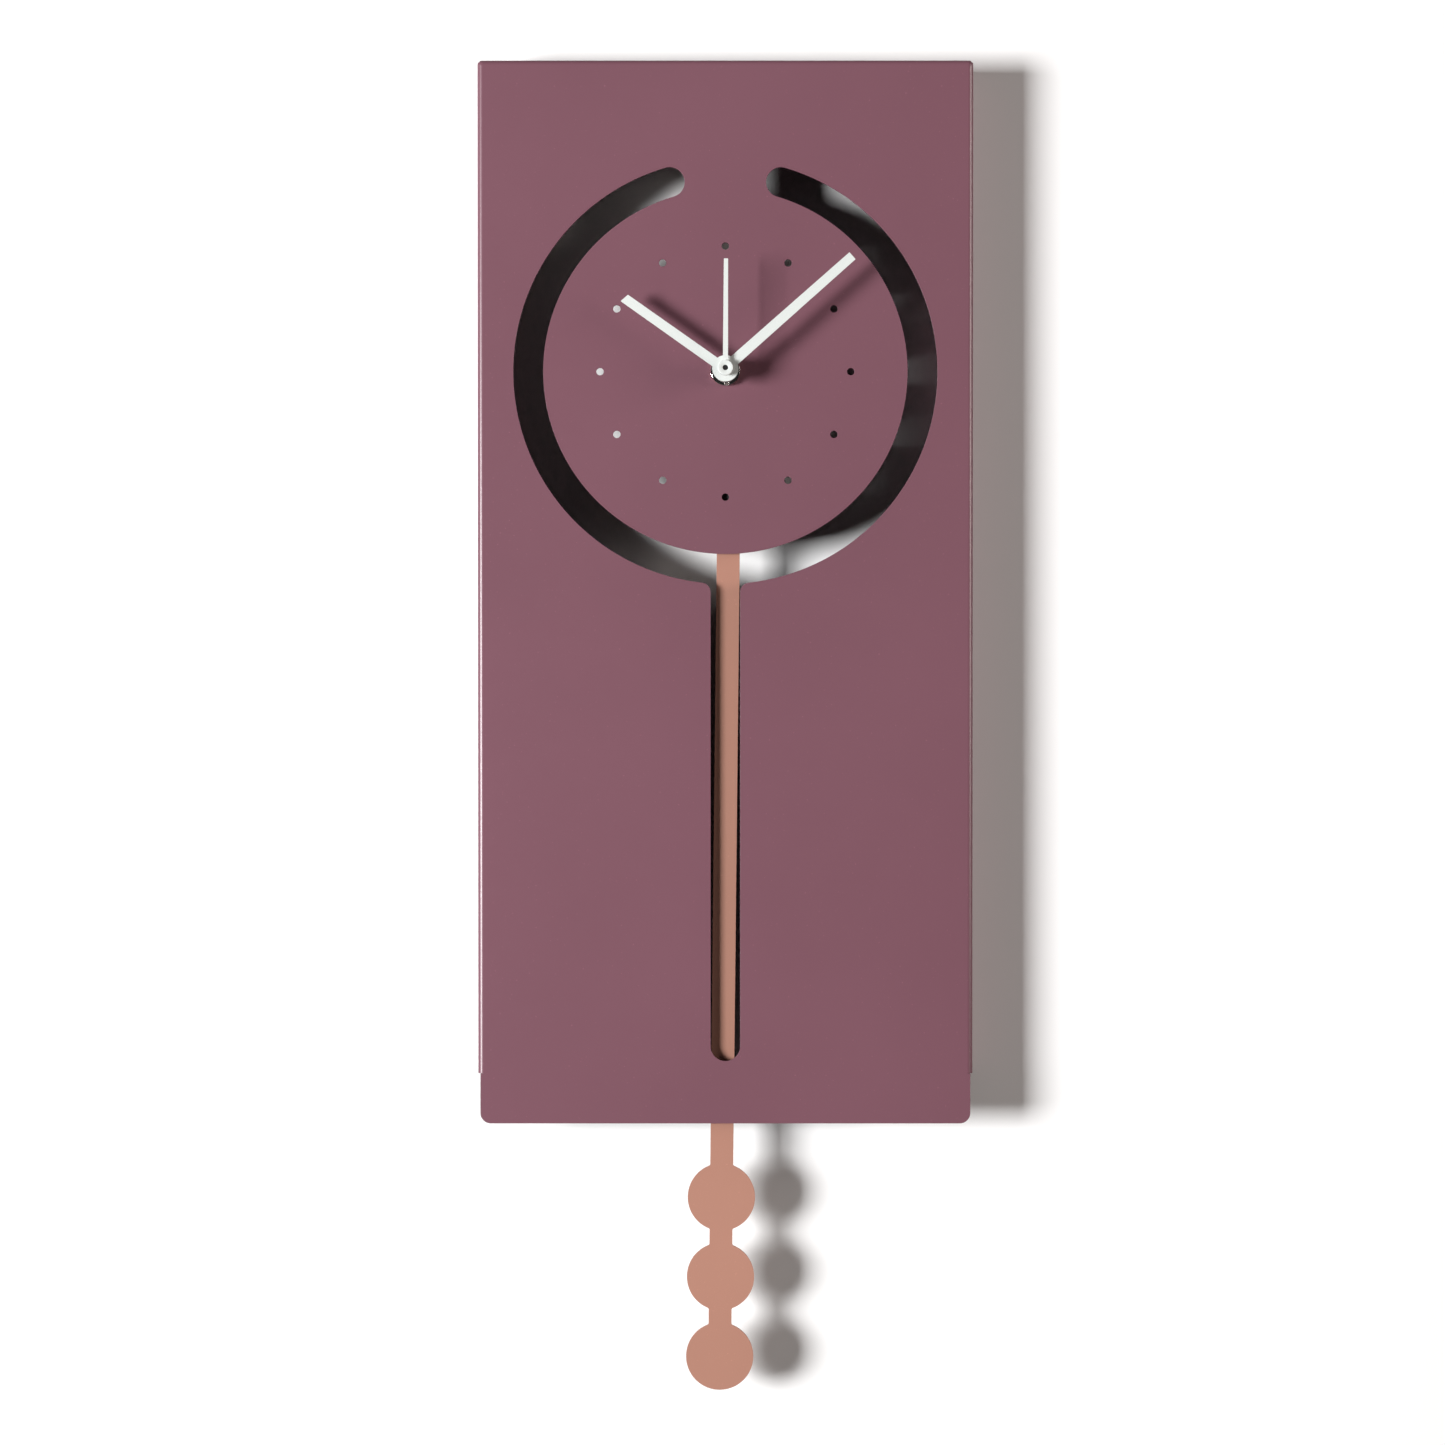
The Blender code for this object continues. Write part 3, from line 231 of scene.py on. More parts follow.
# ---- Materials ----
class Graph:
    """Builds one node material. Patterns use object coordinates, which are metres at rest."""

    def __init__(self, name):
        self.material = bpy.data.materials.new(name)
        self.material.use_nodes = True
        self.tree = self.material.node_tree
        self.shader = self.tree.nodes["Principled BSDF"]
        self.output = self.tree.nodes["Material Output"]
        self.place = self.add("ShaderNodeTexCoord").outputs["Object"]

    def add(self, kind, inputs=None, **settings):
        made = self.tree.nodes.new(kind)
        for name, value in settings.items():
            setattr(made, name, value)
        for name, value in (inputs or {}).items():
            if isinstance(value, bpy.types.NodeSocket):
                self.tree.links.new(value, made.inputs[name])
            else:
                made.inputs[name].default_value = value
        return made

    def noise(self, scale, detail=2.0, stretch=(1, 1, 1)):
        """Noise whose features are about 1/scale metres across."""
        mapped = self.add("ShaderNodeMapping", {"Vector": self.place, "Scale": stretch})
        inputs = {"Vector": mapped.outputs[0], "Scale": scale, "Detail": detail}
        return self.add("ShaderNodeTexNoise", inputs).outputs["Fac"]

    def ramp(self, value, low, high, to_low=0.0, to_high=1.0):
        made = self.add("ShaderNodeMapRange", {
            "Value": value, "From Min": low, "From Max": high, "To Min": to_low, "To Max": to_high,
        })
        return made.outputs["Result"]

    def math(self, operation, first, second=0.0):
        made = self.add("ShaderNodeMath", operation=operation)
        for socket, value in zip(made.inputs, (first, second)):
            if isinstance(value, bpy.types.NodeSocket):
                self.tree.links.new(value, socket)
            else:
                socket.default_value = value
        return made.outputs[0]

    def mix(self, share, first, second):
        made = self.add("ShaderNodeMix", data_type="RGBA")
        for name, value in (("Factor_Float", share), ("A_Color", first), ("B_Color", second)):
            socket = next(s for s in made.inputs if s.identifier == name)
            if isinstance(value, bpy.types.NodeSocket):
                self.tree.links.new(value, socket)
            else:
                socket.default_value = value if name == "Factor_Float" else (*value[:3], 1)
        return next(s for s in made.outputs if s.identifier == "Result_Color")

    def color(self, value):
        self.tree.links.new(value, self.shader.inputs["Base Color"])

    def rough(self, value):
        self.tree.links.new(value, self.shader.inputs["Roughness"])

    def bump(self, height, distance, strength=1.0):
        """Bumps on top of any bump the shader already has."""
        normal = self.shader.inputs["Normal"]
        inputs = {"Height": height, "Distance": distance, "Strength": strength}
        if normal.is_linked:
            inputs["Normal"] = normal.links[0].from_socket
        made = self.add("ShaderNodeBump", inputs)
        self.tree.links.new(made.outputs[0], normal)

    def axis(self, name):
        return self.add("ShaderNodeSeparateXYZ", {"Vector": self.place}).outputs[name]

    def set(self, **values):
        for name, value in values.items():
            self.shader.inputs[name.replace("_", " ")].default_value = value


def shade(color, factor):
    return tuple(channel * factor for channel in color)


def powder_coat(name, color, roughness, speck=0.0):
    """Satin powder coat: orange peel, faint clouding and a few settled specks."""
    graph = Graph(name)
    cloud = graph.ramp(graph.noise(9, 3), 0.35, 0.65)
    tint = graph.mix(cloud, shade(color, 0.975), shade(color, 1.025))
    specks = graph.ramp(graph.noise(800, 1), 0.71, 0.76)
    graph.color(graph.mix(graph.math("MULTIPLY", specks, speck), tint, shade(color, 1.7)))
    graph.rough(graph.ramp(graph.noise(160, 3), 0.3, 0.7, roughness - 0.01, roughness + 0.015))
    graph.bump(graph.noise(900, 2), 0.04 * MM, 0.3)
    graph.set(Specular_IOR_Level=0.5)
    return graph.material


def hand_paint():
    """White paint on stamped sheet, with a light grain."""
    graph = Graph("white_hand_paint")
    grain = graph.ramp(graph.noise(1800, 2), 0.3, 0.7)
    graph.color(graph.mix(grain, (0.64, 0.675, 0.655), (0.68, 0.715, 0.695)))
    graph.rough(graph.ramp(grain, 0, 1, 0.36, 0.5))
    graph.bump(graph.noise(1500, 2), 0.03 * MM, 0.3)
    return graph.material


def plated(name, color, roughness, brush=0.0, stretch=(1, 1, 1)):
    """Plated or bare metal, with drawing lines along one direction where brush is above 0."""
    graph = Graph(name)
    lines = graph.noise(2500, 3, stretch)
    stain = graph.ramp(graph.noise(120, 3), 0.35, 0.7)
    graph.color(graph.mix(stain, color, shade(color, 0.86)))
    graph.rough(graph.ramp(stain, 0, 1, roughness, roughness + 0.1))
    if brush:
        graph.bump(lines, 0.02 * MM, brush)
    graph.set(Metallic=1.0)
    return graph.material


def moulded(name, color, roughness, grain=0.25):
    """Moulded plastic with a fine spark-eroded grain."""
    graph = Graph(name)
    flow = graph.ramp(graph.noise(45, 2), 0.3, 0.7)
    graph.color(graph.mix(flow, color, shade(color, 1.18)))
    graph.rough(graph.ramp(graph.noise(220, 2), 0.3, 0.7, roughness - 0.05, roughness + 0.07))
    graph.bump(graph.noise(2600, 2), 0.03 * MM, grain)
    return graph.material


def rubber():
    graph = Graph("black_rubber")
    dust = graph.ramp(graph.noise(400, 4), 0.5, 0.75)
    graph.color(graph.mix(dust, (0.018, 0.018, 0.018), (0.05, 0.048, 0.046)))
    graph.rough(graph.ramp(dust, 0, 1, 0.7, 0.9))
    graph.bump(graph.noise(1400, 3), 0.05 * MM, 0.4)
    return graph.material


def winding():
    """Enamelled copper wire, its tone varying at random."""
    graph = Graph("enamelled_copper")
    tone = graph.ramp(graph.noise(900, 3), 0.3, 0.7)
    graph.color(graph.mix(tone, (0.5, 0.17, 0.06), (0.75, 0.33, 0.14)))
    graph.rough(graph.ramp(tone, 0, 1, 0.32, 0.22))
    graph.bump(graph.noise(3000, 1), 0.02 * MM, 0.3)
    graph.set(Metallic=1.0, Coat_Weight=0.4)
    return graph.material


def board():
    """Green solder mask with paler tracks under it."""
    graph = Graph("solder_mask")
    tracks = graph.add("ShaderNodeTexBrick", {
        "Vector": graph.place, "Scale": 160.0, "Mortar Size": 0.06, "Mortar Smooth": 0.1,
    }).outputs["Fac"]
    graph.color(graph.mix(tracks, (0.012, 0.11, 0.035), (0.03, 0.2, 0.07)))
    graph.rough(graph.ramp(graph.noise(500, 2), 0.3, 0.7, 0.22, 0.36))
    graph.bump(tracks, 0.04 * MM, 0.6)
    return graph.material


def sleeve():
    """A plain printed battery sleeve: dark body, copper-coloured band at the plus end."""
    graph = Graph("battery_sleeve")
    band = graph.ramp(graph.axis("X"), 13.0 * MM, 13.1 * MM)
    ink = graph.ramp(graph.noise(60, 2), 0.3, 0.7)
    body = graph.mix(ink, (0.012, 0.014, 0.02), (0.02, 0.024, 0.032))
    copper = graph.mix(ink, (0.62, 0.3, 0.1), (0.7, 0.36, 0.13))
    graph.color(graph.mix(band, body, copper))
    graph.tree.links.new(graph.ramp(band, 0, 1, 0.15, 0.85), graph.shader.inputs["Metallic"])
    graph.rough(graph.ramp(graph.noise(300, 2), 0.3, 0.7, 0.22, 0.32))
    graph.bump(graph.noise(350, 2), 0.04 * MM, 0.15)
    graph.set(Coat_Weight=0.5, Coat_Roughness=0.12)
    return graph.material


def acetal():
    graph = Graph("natural_acetal")
    flow = graph.ramp(graph.noise(90, 2), 0.3, 0.7)
    graph.color(graph.mix(flow, (0.74, 0.73, 0.68), (0.82, 0.81, 0.77)))
    graph.rough(graph.ramp(graph.noise(500, 2), 0.3, 0.7, 0.3, 0.42))
    graph.bump(graph.noise(1500, 1), 0.02 * MM, 0.2)
    graph.set(Subsurface_Weight=0.15, Subsurface_Scale=0.001)
    return graph.material


def make_materials():
    return {
        "case_paint": powder_coat("plum_powder_coat", (0.179, 0.078, 0.103), 0.33, 0.5),
        "pendulum_paint": powder_coat("terracotta_powder_coat", (0.41, 0.204, 0.15), 0.42, 0.2),
        "hand_paint": hand_paint(),
        "chrome": plated("chrome", (0.78, 0.77, 0.75), 0.05),
        "zinc_steel": plated("zinc_plated_steel", (0.62, 0.63, 0.64), 0.3, 0.25, (0.04, 1, 1)),
        "brass": plated("turned_brass", (0.78, 0.56, 0.24), 0.22, 0.2, (1, 0.05, 1)),
        "rubber": rubber(),
        "black_moulding": moulded("black_moulding", (0.022, 0.022, 0.024), 0.5, 0.5),
        "black_plastic": moulded("black_plastic", (0.016, 0.016, 0.017), 0.38),
        "natural_plastic": acetal(),
        "magnet": plated("sintered_magnet", (0.16, 0.155, 0.15), 0.38, 0.15),
        "copper_winding": winding(),
        "circuit_board": board(),
        "battery_sleeve": sleeve(),
    }


MATERIALS = make_materials()


# ---- Outlines ----
def arc(centre, radius, start, end, steps):
    """Points along an arc, ends included, with angles from +X."""
    return [
        (
            centre[0] + radius * math.cos(start + (end - start) * i / steps),
            centre[1] + radius * math.sin(start + (end - start) * i / steps),
        )
        for i in range(steps + 1)
    ]


def circle(centre, radius, steps=48):
    return arc(centre, radius, 0, math.tau, steps)[:-1]


def rounded(corners, steps=8):
    """A closed outline through (x, y, radius) corners."""
    loop = []
    for index, (x, y, radius) in enumerate(corners):
        corner = Vector((x, y))
        if radius == 0:
            loop.append((x, y))
            continue
        before = (Vector(corners[index - 1][:2]) - corner).normalized()
        after = (Vector(corners[(index + 1) % len(corners)][:2]) - corner).normalized()
        half = before.angle(after) / 2
        centre = corner + (before + after).normalized() * radius / math.sin(half)
        start = corner + before * radius / math.tan(half) - centre
        end = corner + after * radius / math.tan(half) - centre
        angle = math.atan2(start.y, start.x)
        sweep = math.atan2(start.x * end.y - start.y * end.x, start.dot(end))
        loop += arc(centre, radius, angle, angle + sweep, steps)
    return loop


def rectangle(low, high, radius, steps=8):
    (left, bottom), (right, top) = low, high
    corners = ((left, bottom), (right, bottom), (right, top), (left, top))
    return rounded([(x, y, radius) for x, y in corners], steps)


def mirrored(points):
    """The same points on the left, in the order that closes an outline."""
    return [(-x, y) for x, y in reversed(points)]


def polar(distance, degrees, start=(0, 0)):
    angle = math.radians(degrees)
    return (start[0] + distance * math.cos(angle), start[1] + distance * math.sin(angle))


# ---- Ways of making a piece ----
def link(name, mesh):
    obj = bpy.data.objects.new(name, mesh)
    bpy.context.scene.collection.objects.link(obj)
    return obj


def apply_modifiers(obj):
    graph = bpy.context.evaluated_depsgraph_get()
    mesh = bpy.data.meshes.new_from_object(obj.evaluated_get(graph))
    obj.modifiers.clear()
    obj.data = mesh
    return obj


def filled(work, loops, height=0.0):
    """A flat face from an outline and its holes, at one height."""
    edges = []
    for loop in loops:
        verts = [work.verts.new((x, y, height)) for x, y in loop]
        edges += [work.edges.new((verts[i - 1], verts[i])) for i in range(len(verts))]
    bmesh.ops.triangle_fill(work, use_beauty=True, edges=edges, normal=(0, 0, 1))


def finish_mesh(work, name):
    bmesh.ops.recalc_face_normals(work, faces=work.faces)
    mesh = bpy.data.meshes.new(name)
    work.to_mesh(mesh)
    work.free()
    return link(name, mesh)


def plate(name, loops, back, front):
    """A flat piece: the first loop is its outline, the others are its holes."""
    work = bmesh.new()
    filled(work, loops, back)
    made = bmesh.ops.extrude_face_region(work, geom=work.faces[:])
    top = [item for item in made["geom"] if isinstance(item, bmesh.types.BMVert)]
    bmesh.ops.translate(work, verts=top, vec=(0, 0, front - back))
    return finish_mesh(work, name)


def block(name, low, high):
    return plate(name, [[(low[0], low[1]), (high[0], low[1]), (high[0], high[1]), (low[0], high[1])]],
                 low[2], high[2])


def turned(name, profile, steps=64, closed=False):
    """A piece turned about Z from (radius, height) points that run down its outer side."""
    points = profile + profile[:1] if closed else profile
    work = bmesh.new()
    verts = [work.verts.new((radius, 0, height)) for radius, height in points[:len(profile)]]
    edges = [work.edges.new((verts[i], verts[(i + 1) % len(verts)])) for i in range(len(points) - 1)]
    bmesh.ops.spin(work, geom=verts + edges, cent=(0, 0, 0), axis=(0, 0, 1), dvec=(0, 0, 0),
                   angle=math.tau, steps=steps, use_merge=True)
    bmesh.ops.remove_doubles(work, verts=work.verts, dist=1e-7)
    return finish_mesh(work, name)


def rod(name, radius, back, front, steps=48):
    return turned(name, [(0, front), (radius, front), (radius, back), (0, back)], steps)


def ring(name, inner, outer, back, front, steps=64):
    profile = [(inner, front), (outer, front), (outer, back), (inner, back)]
    return turned(name, profile, steps, closed=True)


def combine(obj, operation, *tools):
    for tool in tools:
        boolean = obj.modifiers.new(operation.lower(), "BOOLEAN")
        boolean.operation = operation
        boolean.solver = "EXACT"
        boolean.object = tool
    bpy.context.view_layer.update()
    apply_modifiers(obj)
    for tool in tools:
        bpy.data.objects.remove(tool)
    return obj


def joined(obj, *tools):
    return combine(obj, "UNION", *tools)


def cut(obj, *tools):
    return combine(obj, "DIFFERENCE", *tools)


def moved(obj, matrix):
    obj.data.transform(matrix)
    return obj


def rounded_edges(obj, width, segments=3, angle=35):
    bevel = obj.modifiers.new("edge", "BEVEL")
    bevel.width = width
    bevel.segments = segments
    bevel.limit_method = "ANGLE"
    bevel.angle_limit = math.radians(angle)
    bevel.harden_normals = True
    bevel.use_clamp_overlap = True
    return obj


def show(obj, slot, body, *nodes, place=Matrix.Identity(4), smooth=35):
    """Gives the piece its finish, brings it to its place and lets it ride on its body."""
    obj.data.shade_smooth()
    obj.data.set_sharp_from_angle(angle=math.radians(smooth))
    weighted = obj.modifiers.new("normals", "WEIGHTED_NORMAL")
    weighted.keep_sharp = True
    apply_modifiers(obj)
    obj.data.transform(DIAL @ place)
    obj.data.materials.clear()
    obj.data.materials.append(MATERIALS[slot])
    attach(obj, body)
    if nodes:
        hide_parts(*nodes)
    return obj


def turn(angle):
    return Matrix.Rotation(angle, 4, "Z")


def shift(x, y, z=0):
    return Matrix.Translation((x, y, z))


# ---- The case ----
def front_outline():
    """The front's flat part, up to the fold lines, with the strip below the side flanges."""
    fold = CASE_HIGH.x - BEND
    strip_top = FLANGE_BOTTOM - FLANGE_SLIT
    corner = (STRIP_HALF_WIDTH - STRIP_CORNER, CASE_LOW.y + STRIP_CORNER)
    right = [
        (fold, CASE_HIGH.y - BEND),
        (fold, FLANGE_BOTTOM),
        (fold, strip_top),
        (STRIP_HALF_WIDTH, strip_top),
    ]
    right += arc(corner, STRIP_CORNER, 0, -math.pi / 2, 12)
    return right + mirrored(right)


def slot_outline():
    """The ring slot and the vertical slot, which are one opening."""
    down = -math.pi / 2
    end = math.pi / 2 - RING_END
    middle = (RING_OUTER + RING_INNER) / 2
    reach = SLOT_HALF_WIDTH + SLOT_FILLET
    drop = -math.sqrt((RING_OUTER + SLOT_FILLET) ** 2 - reach**2)
    meet = math.atan2(drop, reach)
    slot_end = (0, SLOT_BOTTOM + SLOT_HALF_WIDTH)
    end_centre = (middle * math.cos(end), middle * math.sin(end))
    right = arc(slot_end, SLOT_HALF_WIDTH, down, 0, 16)
    right += arc((reach, drop), SLOT_FILLET, math.pi, meet + math.pi, 10)
    right += arc((0, 0), RING_OUTER, meet, end, 90)[1:]
    right += arc(end_centre, (RING_OUTER - RING_INNER) / 2, end, end + math.pi, 20)[1:-1]
    right += arc((0, 0), RING_INNER, end, down, 96)
    left = mirrored(right)
    return right + left[1:-1]


def hour_holes():
    return [circle(polar(HOUR_CIRCLE, 30 * hour), HOUR_HOLE, 24) for hour in range(12)]


def bend_step(step):
    """How far a fold has gone sideways and back. The step past the bend is the flange's edge."""
    if step > BEND_STEPS:
        return BEND, CASE_HIGH.z
    angle = step * math.pi / 2 / BEND_STEPS
    return BEND * math.sin(angle), BEND * (1 - math.cos(angle))


def folded_point(side, across, up):
    """A point of the sheet's outer face past the fold lines of one side and of the top."""
    reach, back = bend_step(across)
    rise, top_back = bend_step(up)
    x = side * (CASE_HIGH.x - BEND + reach)
    return (x, CASE_HIGH.y - BEND + rise, max(0, CASE_HIGH.z - back - top_back))


def add_fold(work, rows):
    """Faces between successive rows of points."""
    made = [[work.verts.new(point) for point in row] for row in rows]
    for first, second in zip(made, made[1:]):
        for i in range(len(first) - 1):
            work.faces.new((first[i], first[i + 1], second[i + 1], second[i]))


def add_flanges(work):
    steps = range(BEND_STEPS + 2)
    half = range(BEND_STEPS // 2 + 1)
    rest = range(BEND_STEPS // 2, BEND_STEPS + 2)
    add_fold(work, [[folded_point(side, 0, step) for step in steps] for side in (-1, 1)])
    for side in (-1, 1):
        top = [folded_point(side, step, 0) for step in steps]
        add_fold(work, [[(x, FLANGE_BOTTOM, z) for x, _, z in top], top])
        add_fold(work, [[folded_point(side, across, up) for across in half] for up in half])
        add_fold(work, [[folded_point(side, step, up) for step in rest] for up in half[:-1]])
        add_fold(work, [[folded_point(side, across, step) for step in rest] for across in half[:-1]])


def make_case_sheet():
    work = bmesh.new()
    loops = [front_outline(), slot_outline(), circle((0, 0), SHAFT_HOLE)] + hour_holes()
    filled(work, loops, CASE_HIGH.z)
    add_flanges(work)
    bmesh.ops.remove_doubles(work, verts=work.verts, dist=1e-6)
    bmesh.ops.recalc_face_normals(work, faces=work.faces)
    front = max(work.faces, key=lambda face: face.calc_center_median().z)
    if front.normal.z < 0:
        bmesh.ops.reverse_faces(work, faces=work.faces)
    mesh = bpy.data.meshes.new("folded_case")
    work.to_mesh(mesh)
    work.free()
    case = link("folded_case", mesh)
    solid = case.modifiers.new("sheet", "SOLIDIFY")
    solid.thickness = SHEET
    solid.offset = -1
    solid.use_even_offset = True
    rounded_edges(case, EDGE_ROUND, 3, 60)
    show(case, "case_paint", "case", "case_sheet")


def make_hanger_bar():
    """A cross bar of strip steel with bent ends, a keyhole in its middle and four small dimples."""
    low, high = node_box("hanger_bar")
    inner = HANGER_BEND - HANGER_SHEET
    profile = rounded([
        (low.x, high.z, 0),
        (low.x, low.z, HANGER_BEND),
        (high.x, low.z, HANGER_BEND),
        (high.x, high.z, 0),
        (high.x - HANGER_SHEET, high.z, 0),
        (high.x - HANGER_SHEET, low.z + HANGER_SHEET, inner),
        (low.x + HANGER_SHEET, low.z + HANGER_SHEET, inner),
        (low.x + HANGER_SHEET, high.z, 0),
    ])
    bar = plate("keyhole_bar", [profile], -high.y, -low.y)
    moved(bar, Matrix.Rotation(math.pi / 2, 4, "X"))
    shank = (0, HANG_ABOVE_DIAL)
    head = (0, HANG_ABOVE_DIAL - KEYHOLE_DROP)
    meet = math.acos(KEYHOLE_NECK / KEYHOLE_HEAD)
    keyhole = arc(shank, KEYHOLE_NECK, 0, math.pi, 16)
    keyhole += arc(head, KEYHOLE_HEAD, math.pi - meet, math.tau + meet, 40)
    cuts = [plate("keyhole", [keyhole], 0, high.z)]
    for x in DIMPLE_PLACES:
        dimple = rod("dimple", DIMPLE_RADIUS, low.z - MM, low.z + DIMPLE_DEPTH, 24)
        cuts.append(moved(dimple, shift(x, (low.y + high.y) / 2)))
    cut(bar, *cuts)
    rounded_edges(bar, 0.25 * MM, 2)
    show(bar, "zinc_steel", "case", "hanger_bar")


# ---- The clamp through the dial ----
def make_nut():
    """The round clamp nut, with notches for a spanner wrench."""
    low, high = node_box("fixing_nut")
    outer = high.x
    profile = [
        (SHAFT_HOLE + NUT_BREAK, high.z),
        (outer - 2 * NUT_CHAMFER, high.z),
        (outer, high.z - NUT_CHAMFER),
        (outer, low.z + NUT_BREAK),
        (outer - NUT_BREAK, low.z),
        (SHAFT_HOLE, low.z),
        (SHAFT_HOLE, high.z - NUT_BREAK),
    ]
    nut = turned("clamp_nut", profile, 96, closed=True)
    notch_low = (NOTCH_START, -NOTCH_HALF_WIDTH, low.z + MM)
    notch_high = (NOTCH_END, NOTCH_HALF_WIDTH, high.z + MM)
    for index in range(NOTCH_COUNT):
        notch = block("notch", notch_low, notch_high)
        cut(nut, moved(notch, turn(math.radians(NOTCH_TURN + 360 / NOTCH_COUNT * index))))
    rounded_edges(nut, 0.12 * MM, 2)
    show(nut, "chrome", "case", "fixing_nut")


def make_washer_and_gasket():
    low, high = node_box("flat_washer")
    washer = rounded_edges(ring("washer", SHAFT_HOLE, high.x, low.z, high.z, 96), 0.12 * MM, 2)
    show(washer, "brass", "case", "flat_washer")

    low, high = node_box("rubber_gasket")
    loops = [rectangle((low.x, low.y), (high.x, high.y), GASKET_CORNER), circle((0, 0), GASKET_HOLE)]
    gasket = rounded_edges(plate("gasket", loops, low.z, high.z), 0.2 * MM, 2)
    show(gasket, "rubber", "case", "rubber_gasket")


def make_bushing():
    """The bushing, with a thread cut as rings down to its collar."""
    low, high = node_box("threaded_bushing")
    inner = HOUR_PIPE + BUSHING_PLAY
    profile = [(inner, high.z), (THREAD_RADIUS - THREAD_LEAD, high.z)]
    height = high.z - THREAD_LEAD
    while height > COLLAR_FRONT + THREAD_PITCH:
        profile += [(THREAD_RADIUS, height), (THREAD_RADIUS - THREAD_DEPTH, height - THREAD_PITCH / 2)]
        height -= THREAD_PITCH
    profile += [
        (THREAD_RADIUS, COLLAR_FRONT),
        (high.x, COLLAR_FRONT),
        (high.x, COLLAR_BACK),
        (THREAD_RADIUS, COLLAR_BACK),
        (THREAD_RADIUS, low.z),
        (inner, low.z),
    ]
    show(turned("bushing", profile, 64, closed=True), "brass", "case", "threaded_bushing")


# ---- The hands ----
def hand_outline(size):
    """A flat blade along +Y that grows out of a round hub. The slant is what its left edge gains."""
    length, tip, root, hub, slant = size
    meet = math.acos(root / 2 / hub)
    blade = rounded([
        (root / 2, 0, 0),
        (tip / 2, length - slant, TIP_CORNER),
        (-tip / 2, length, TIP_CORNER),
        (-root / 2, 0, 0),
    ], 4)
    return blade[1:-1] + arc((0, 0), hub, math.pi - meet, math.tau + meet, 64)


def make_hand(name, size, middle, parts, bore):
    """The stamped blade, with the other parts joined on and its bore cut."""
    back = middle - HAND_SHEET / 2
    hand = plate(name, [hand_outline(size)], back, back + HAND_SHEET)
    joined(hand, *parts)
    cut(hand, bore)
    return rounded_edges(hand, 0.1 * MM, 2)


def through_bore(pipe, collet):
    """A bore for a pipe, right through a collet."""
    _, back, front = collet
    return rod("bore", pipe + PIPE_PLAY, back - MM, front + MM)


def make_hour_hand():
    collet = rod("collet", *HOUR_COLLET, 64)
    bore = through_bore(HOUR_PIPE, HOUR_COLLET)
    hand = make_hand("hour_hand_blade", HOUR_HAND, HOUR_HEIGHT, [collet], bore)
    show(hand, "hand_paint", "hour", "hour_hand", place=turn(-HOUR_ANGLE))


def make_minute_hand():
    collet = rod("collet", *MINUTE_COLLET, 64)
    bore = through_bore(MINUTE_PIPE, MINUTE_COLLET)
    hand = make_hand("minute_hand_blade", MINUTE_HAND, MINUTE_HEIGHT, [collet], bore)
    show(hand, "hand_paint", "minute", "minute_hand", place=turn(-MINUTE_ANGLE))


def make_second_hand():
    """The second hand, with a small eye in its cap that a black disc fills as painted shade."""
    front = node_box("second_hand")[1].z
    profile = [
        (0, front),
        (CAP_RADIUS - CAP_EDGE, front),
        (CAP_RADIUS - CAP_EDGE / 3, front - 0.08 * MM),
        (CAP_RADIUS, front - CAP_EDGE),
        (CAP_RADIUS, SECOND_HEIGHT - CAP_SIDE),
        (0, SECOND_HEIGHT - CAP_SIDE),
    ]
    cap = turned("cap", profile)
    collet = rod("collet", *SECOND_COLLET)
    bore = rod("bore", SECOND_ARBOR + PIPE_PLAY, SECOND_COLLET[1] - MM, SECOND_BORE_FRONT)
    hand = make_hand("second_hand_blade", SECOND_HAND, SECOND_HEIGHT, [cap, collet], bore)
    cut(hand, rod("eye", EYE_RADIUS, EYE_BACK, front + MM))
    show(hand, "hand_paint", "second", "second_hand", place=turn(-SECOND_ANGLE))
    # A black disc sunk in the eye: painted shade standing in for the dark of the hole
    eye_shade_disc = rod("second_hand_eye_shade", EYE_SHADE_RADIUS, EYE_SHADE_BACK, front - EYE_SHADE_SINK)
    show(rounded_edges(eye_shade_disc, 0.25 * MM), "black_plastic", "second")


# ---- The movement's housing ----
def housing(inset=0.0):
    wide = HOUSING_HIGH.x - inset
    narrow = FOOT_HALF_WIDTH - inset
    radius = HOUSING_CORNER - inset
    top = HOUSING_HIGH.y - inset
    bottom = HOUSING_LOW.y + inset
    neck = SHOULDER - SHOULDER_SLOPE + inset
    left = [
        (-wide, top, radius),
        (-wide, SHOULDER + inset, radius),
        (-narrow, neck, 0),
        (-narrow, bottom, radius),
    ]
    return rounded(left + [(-x, y, r) for x, y, r in reversed(left)])


def make_front_shell():
    """The tub behind the dial, with a mouth below that the pendulum's arm swings in."""
    back, front = HOUSING_LOW.z, HOUSING_HIGH.z
    shell = plate("front_shell", [housing()], back, front)
    rounded_edges(shell, HOUSING_EDGE)
    apply_modifiers(shell)
    hollow = plate("hollow", [housing(SHELL)], back - MM, front - SHELL)
    hole = rod("hole", SHAFT_HOLE, back, front + MM)
    mouth_low = (-MOUTH_HALF_WIDTH, HOUSING_LOW.y - MM, MOUTH_BACK)
    mouth_high = (MOUTH_HALF_WIDTH, HOUSING_LOW.y + MOUTH_RISE, MOUTH_FRONT)
    cut(shell, hollow, hole, block("mouth", mouth_low, mouth_high))
    show(shell, "black_moulding", "case", "movement_front_shell")


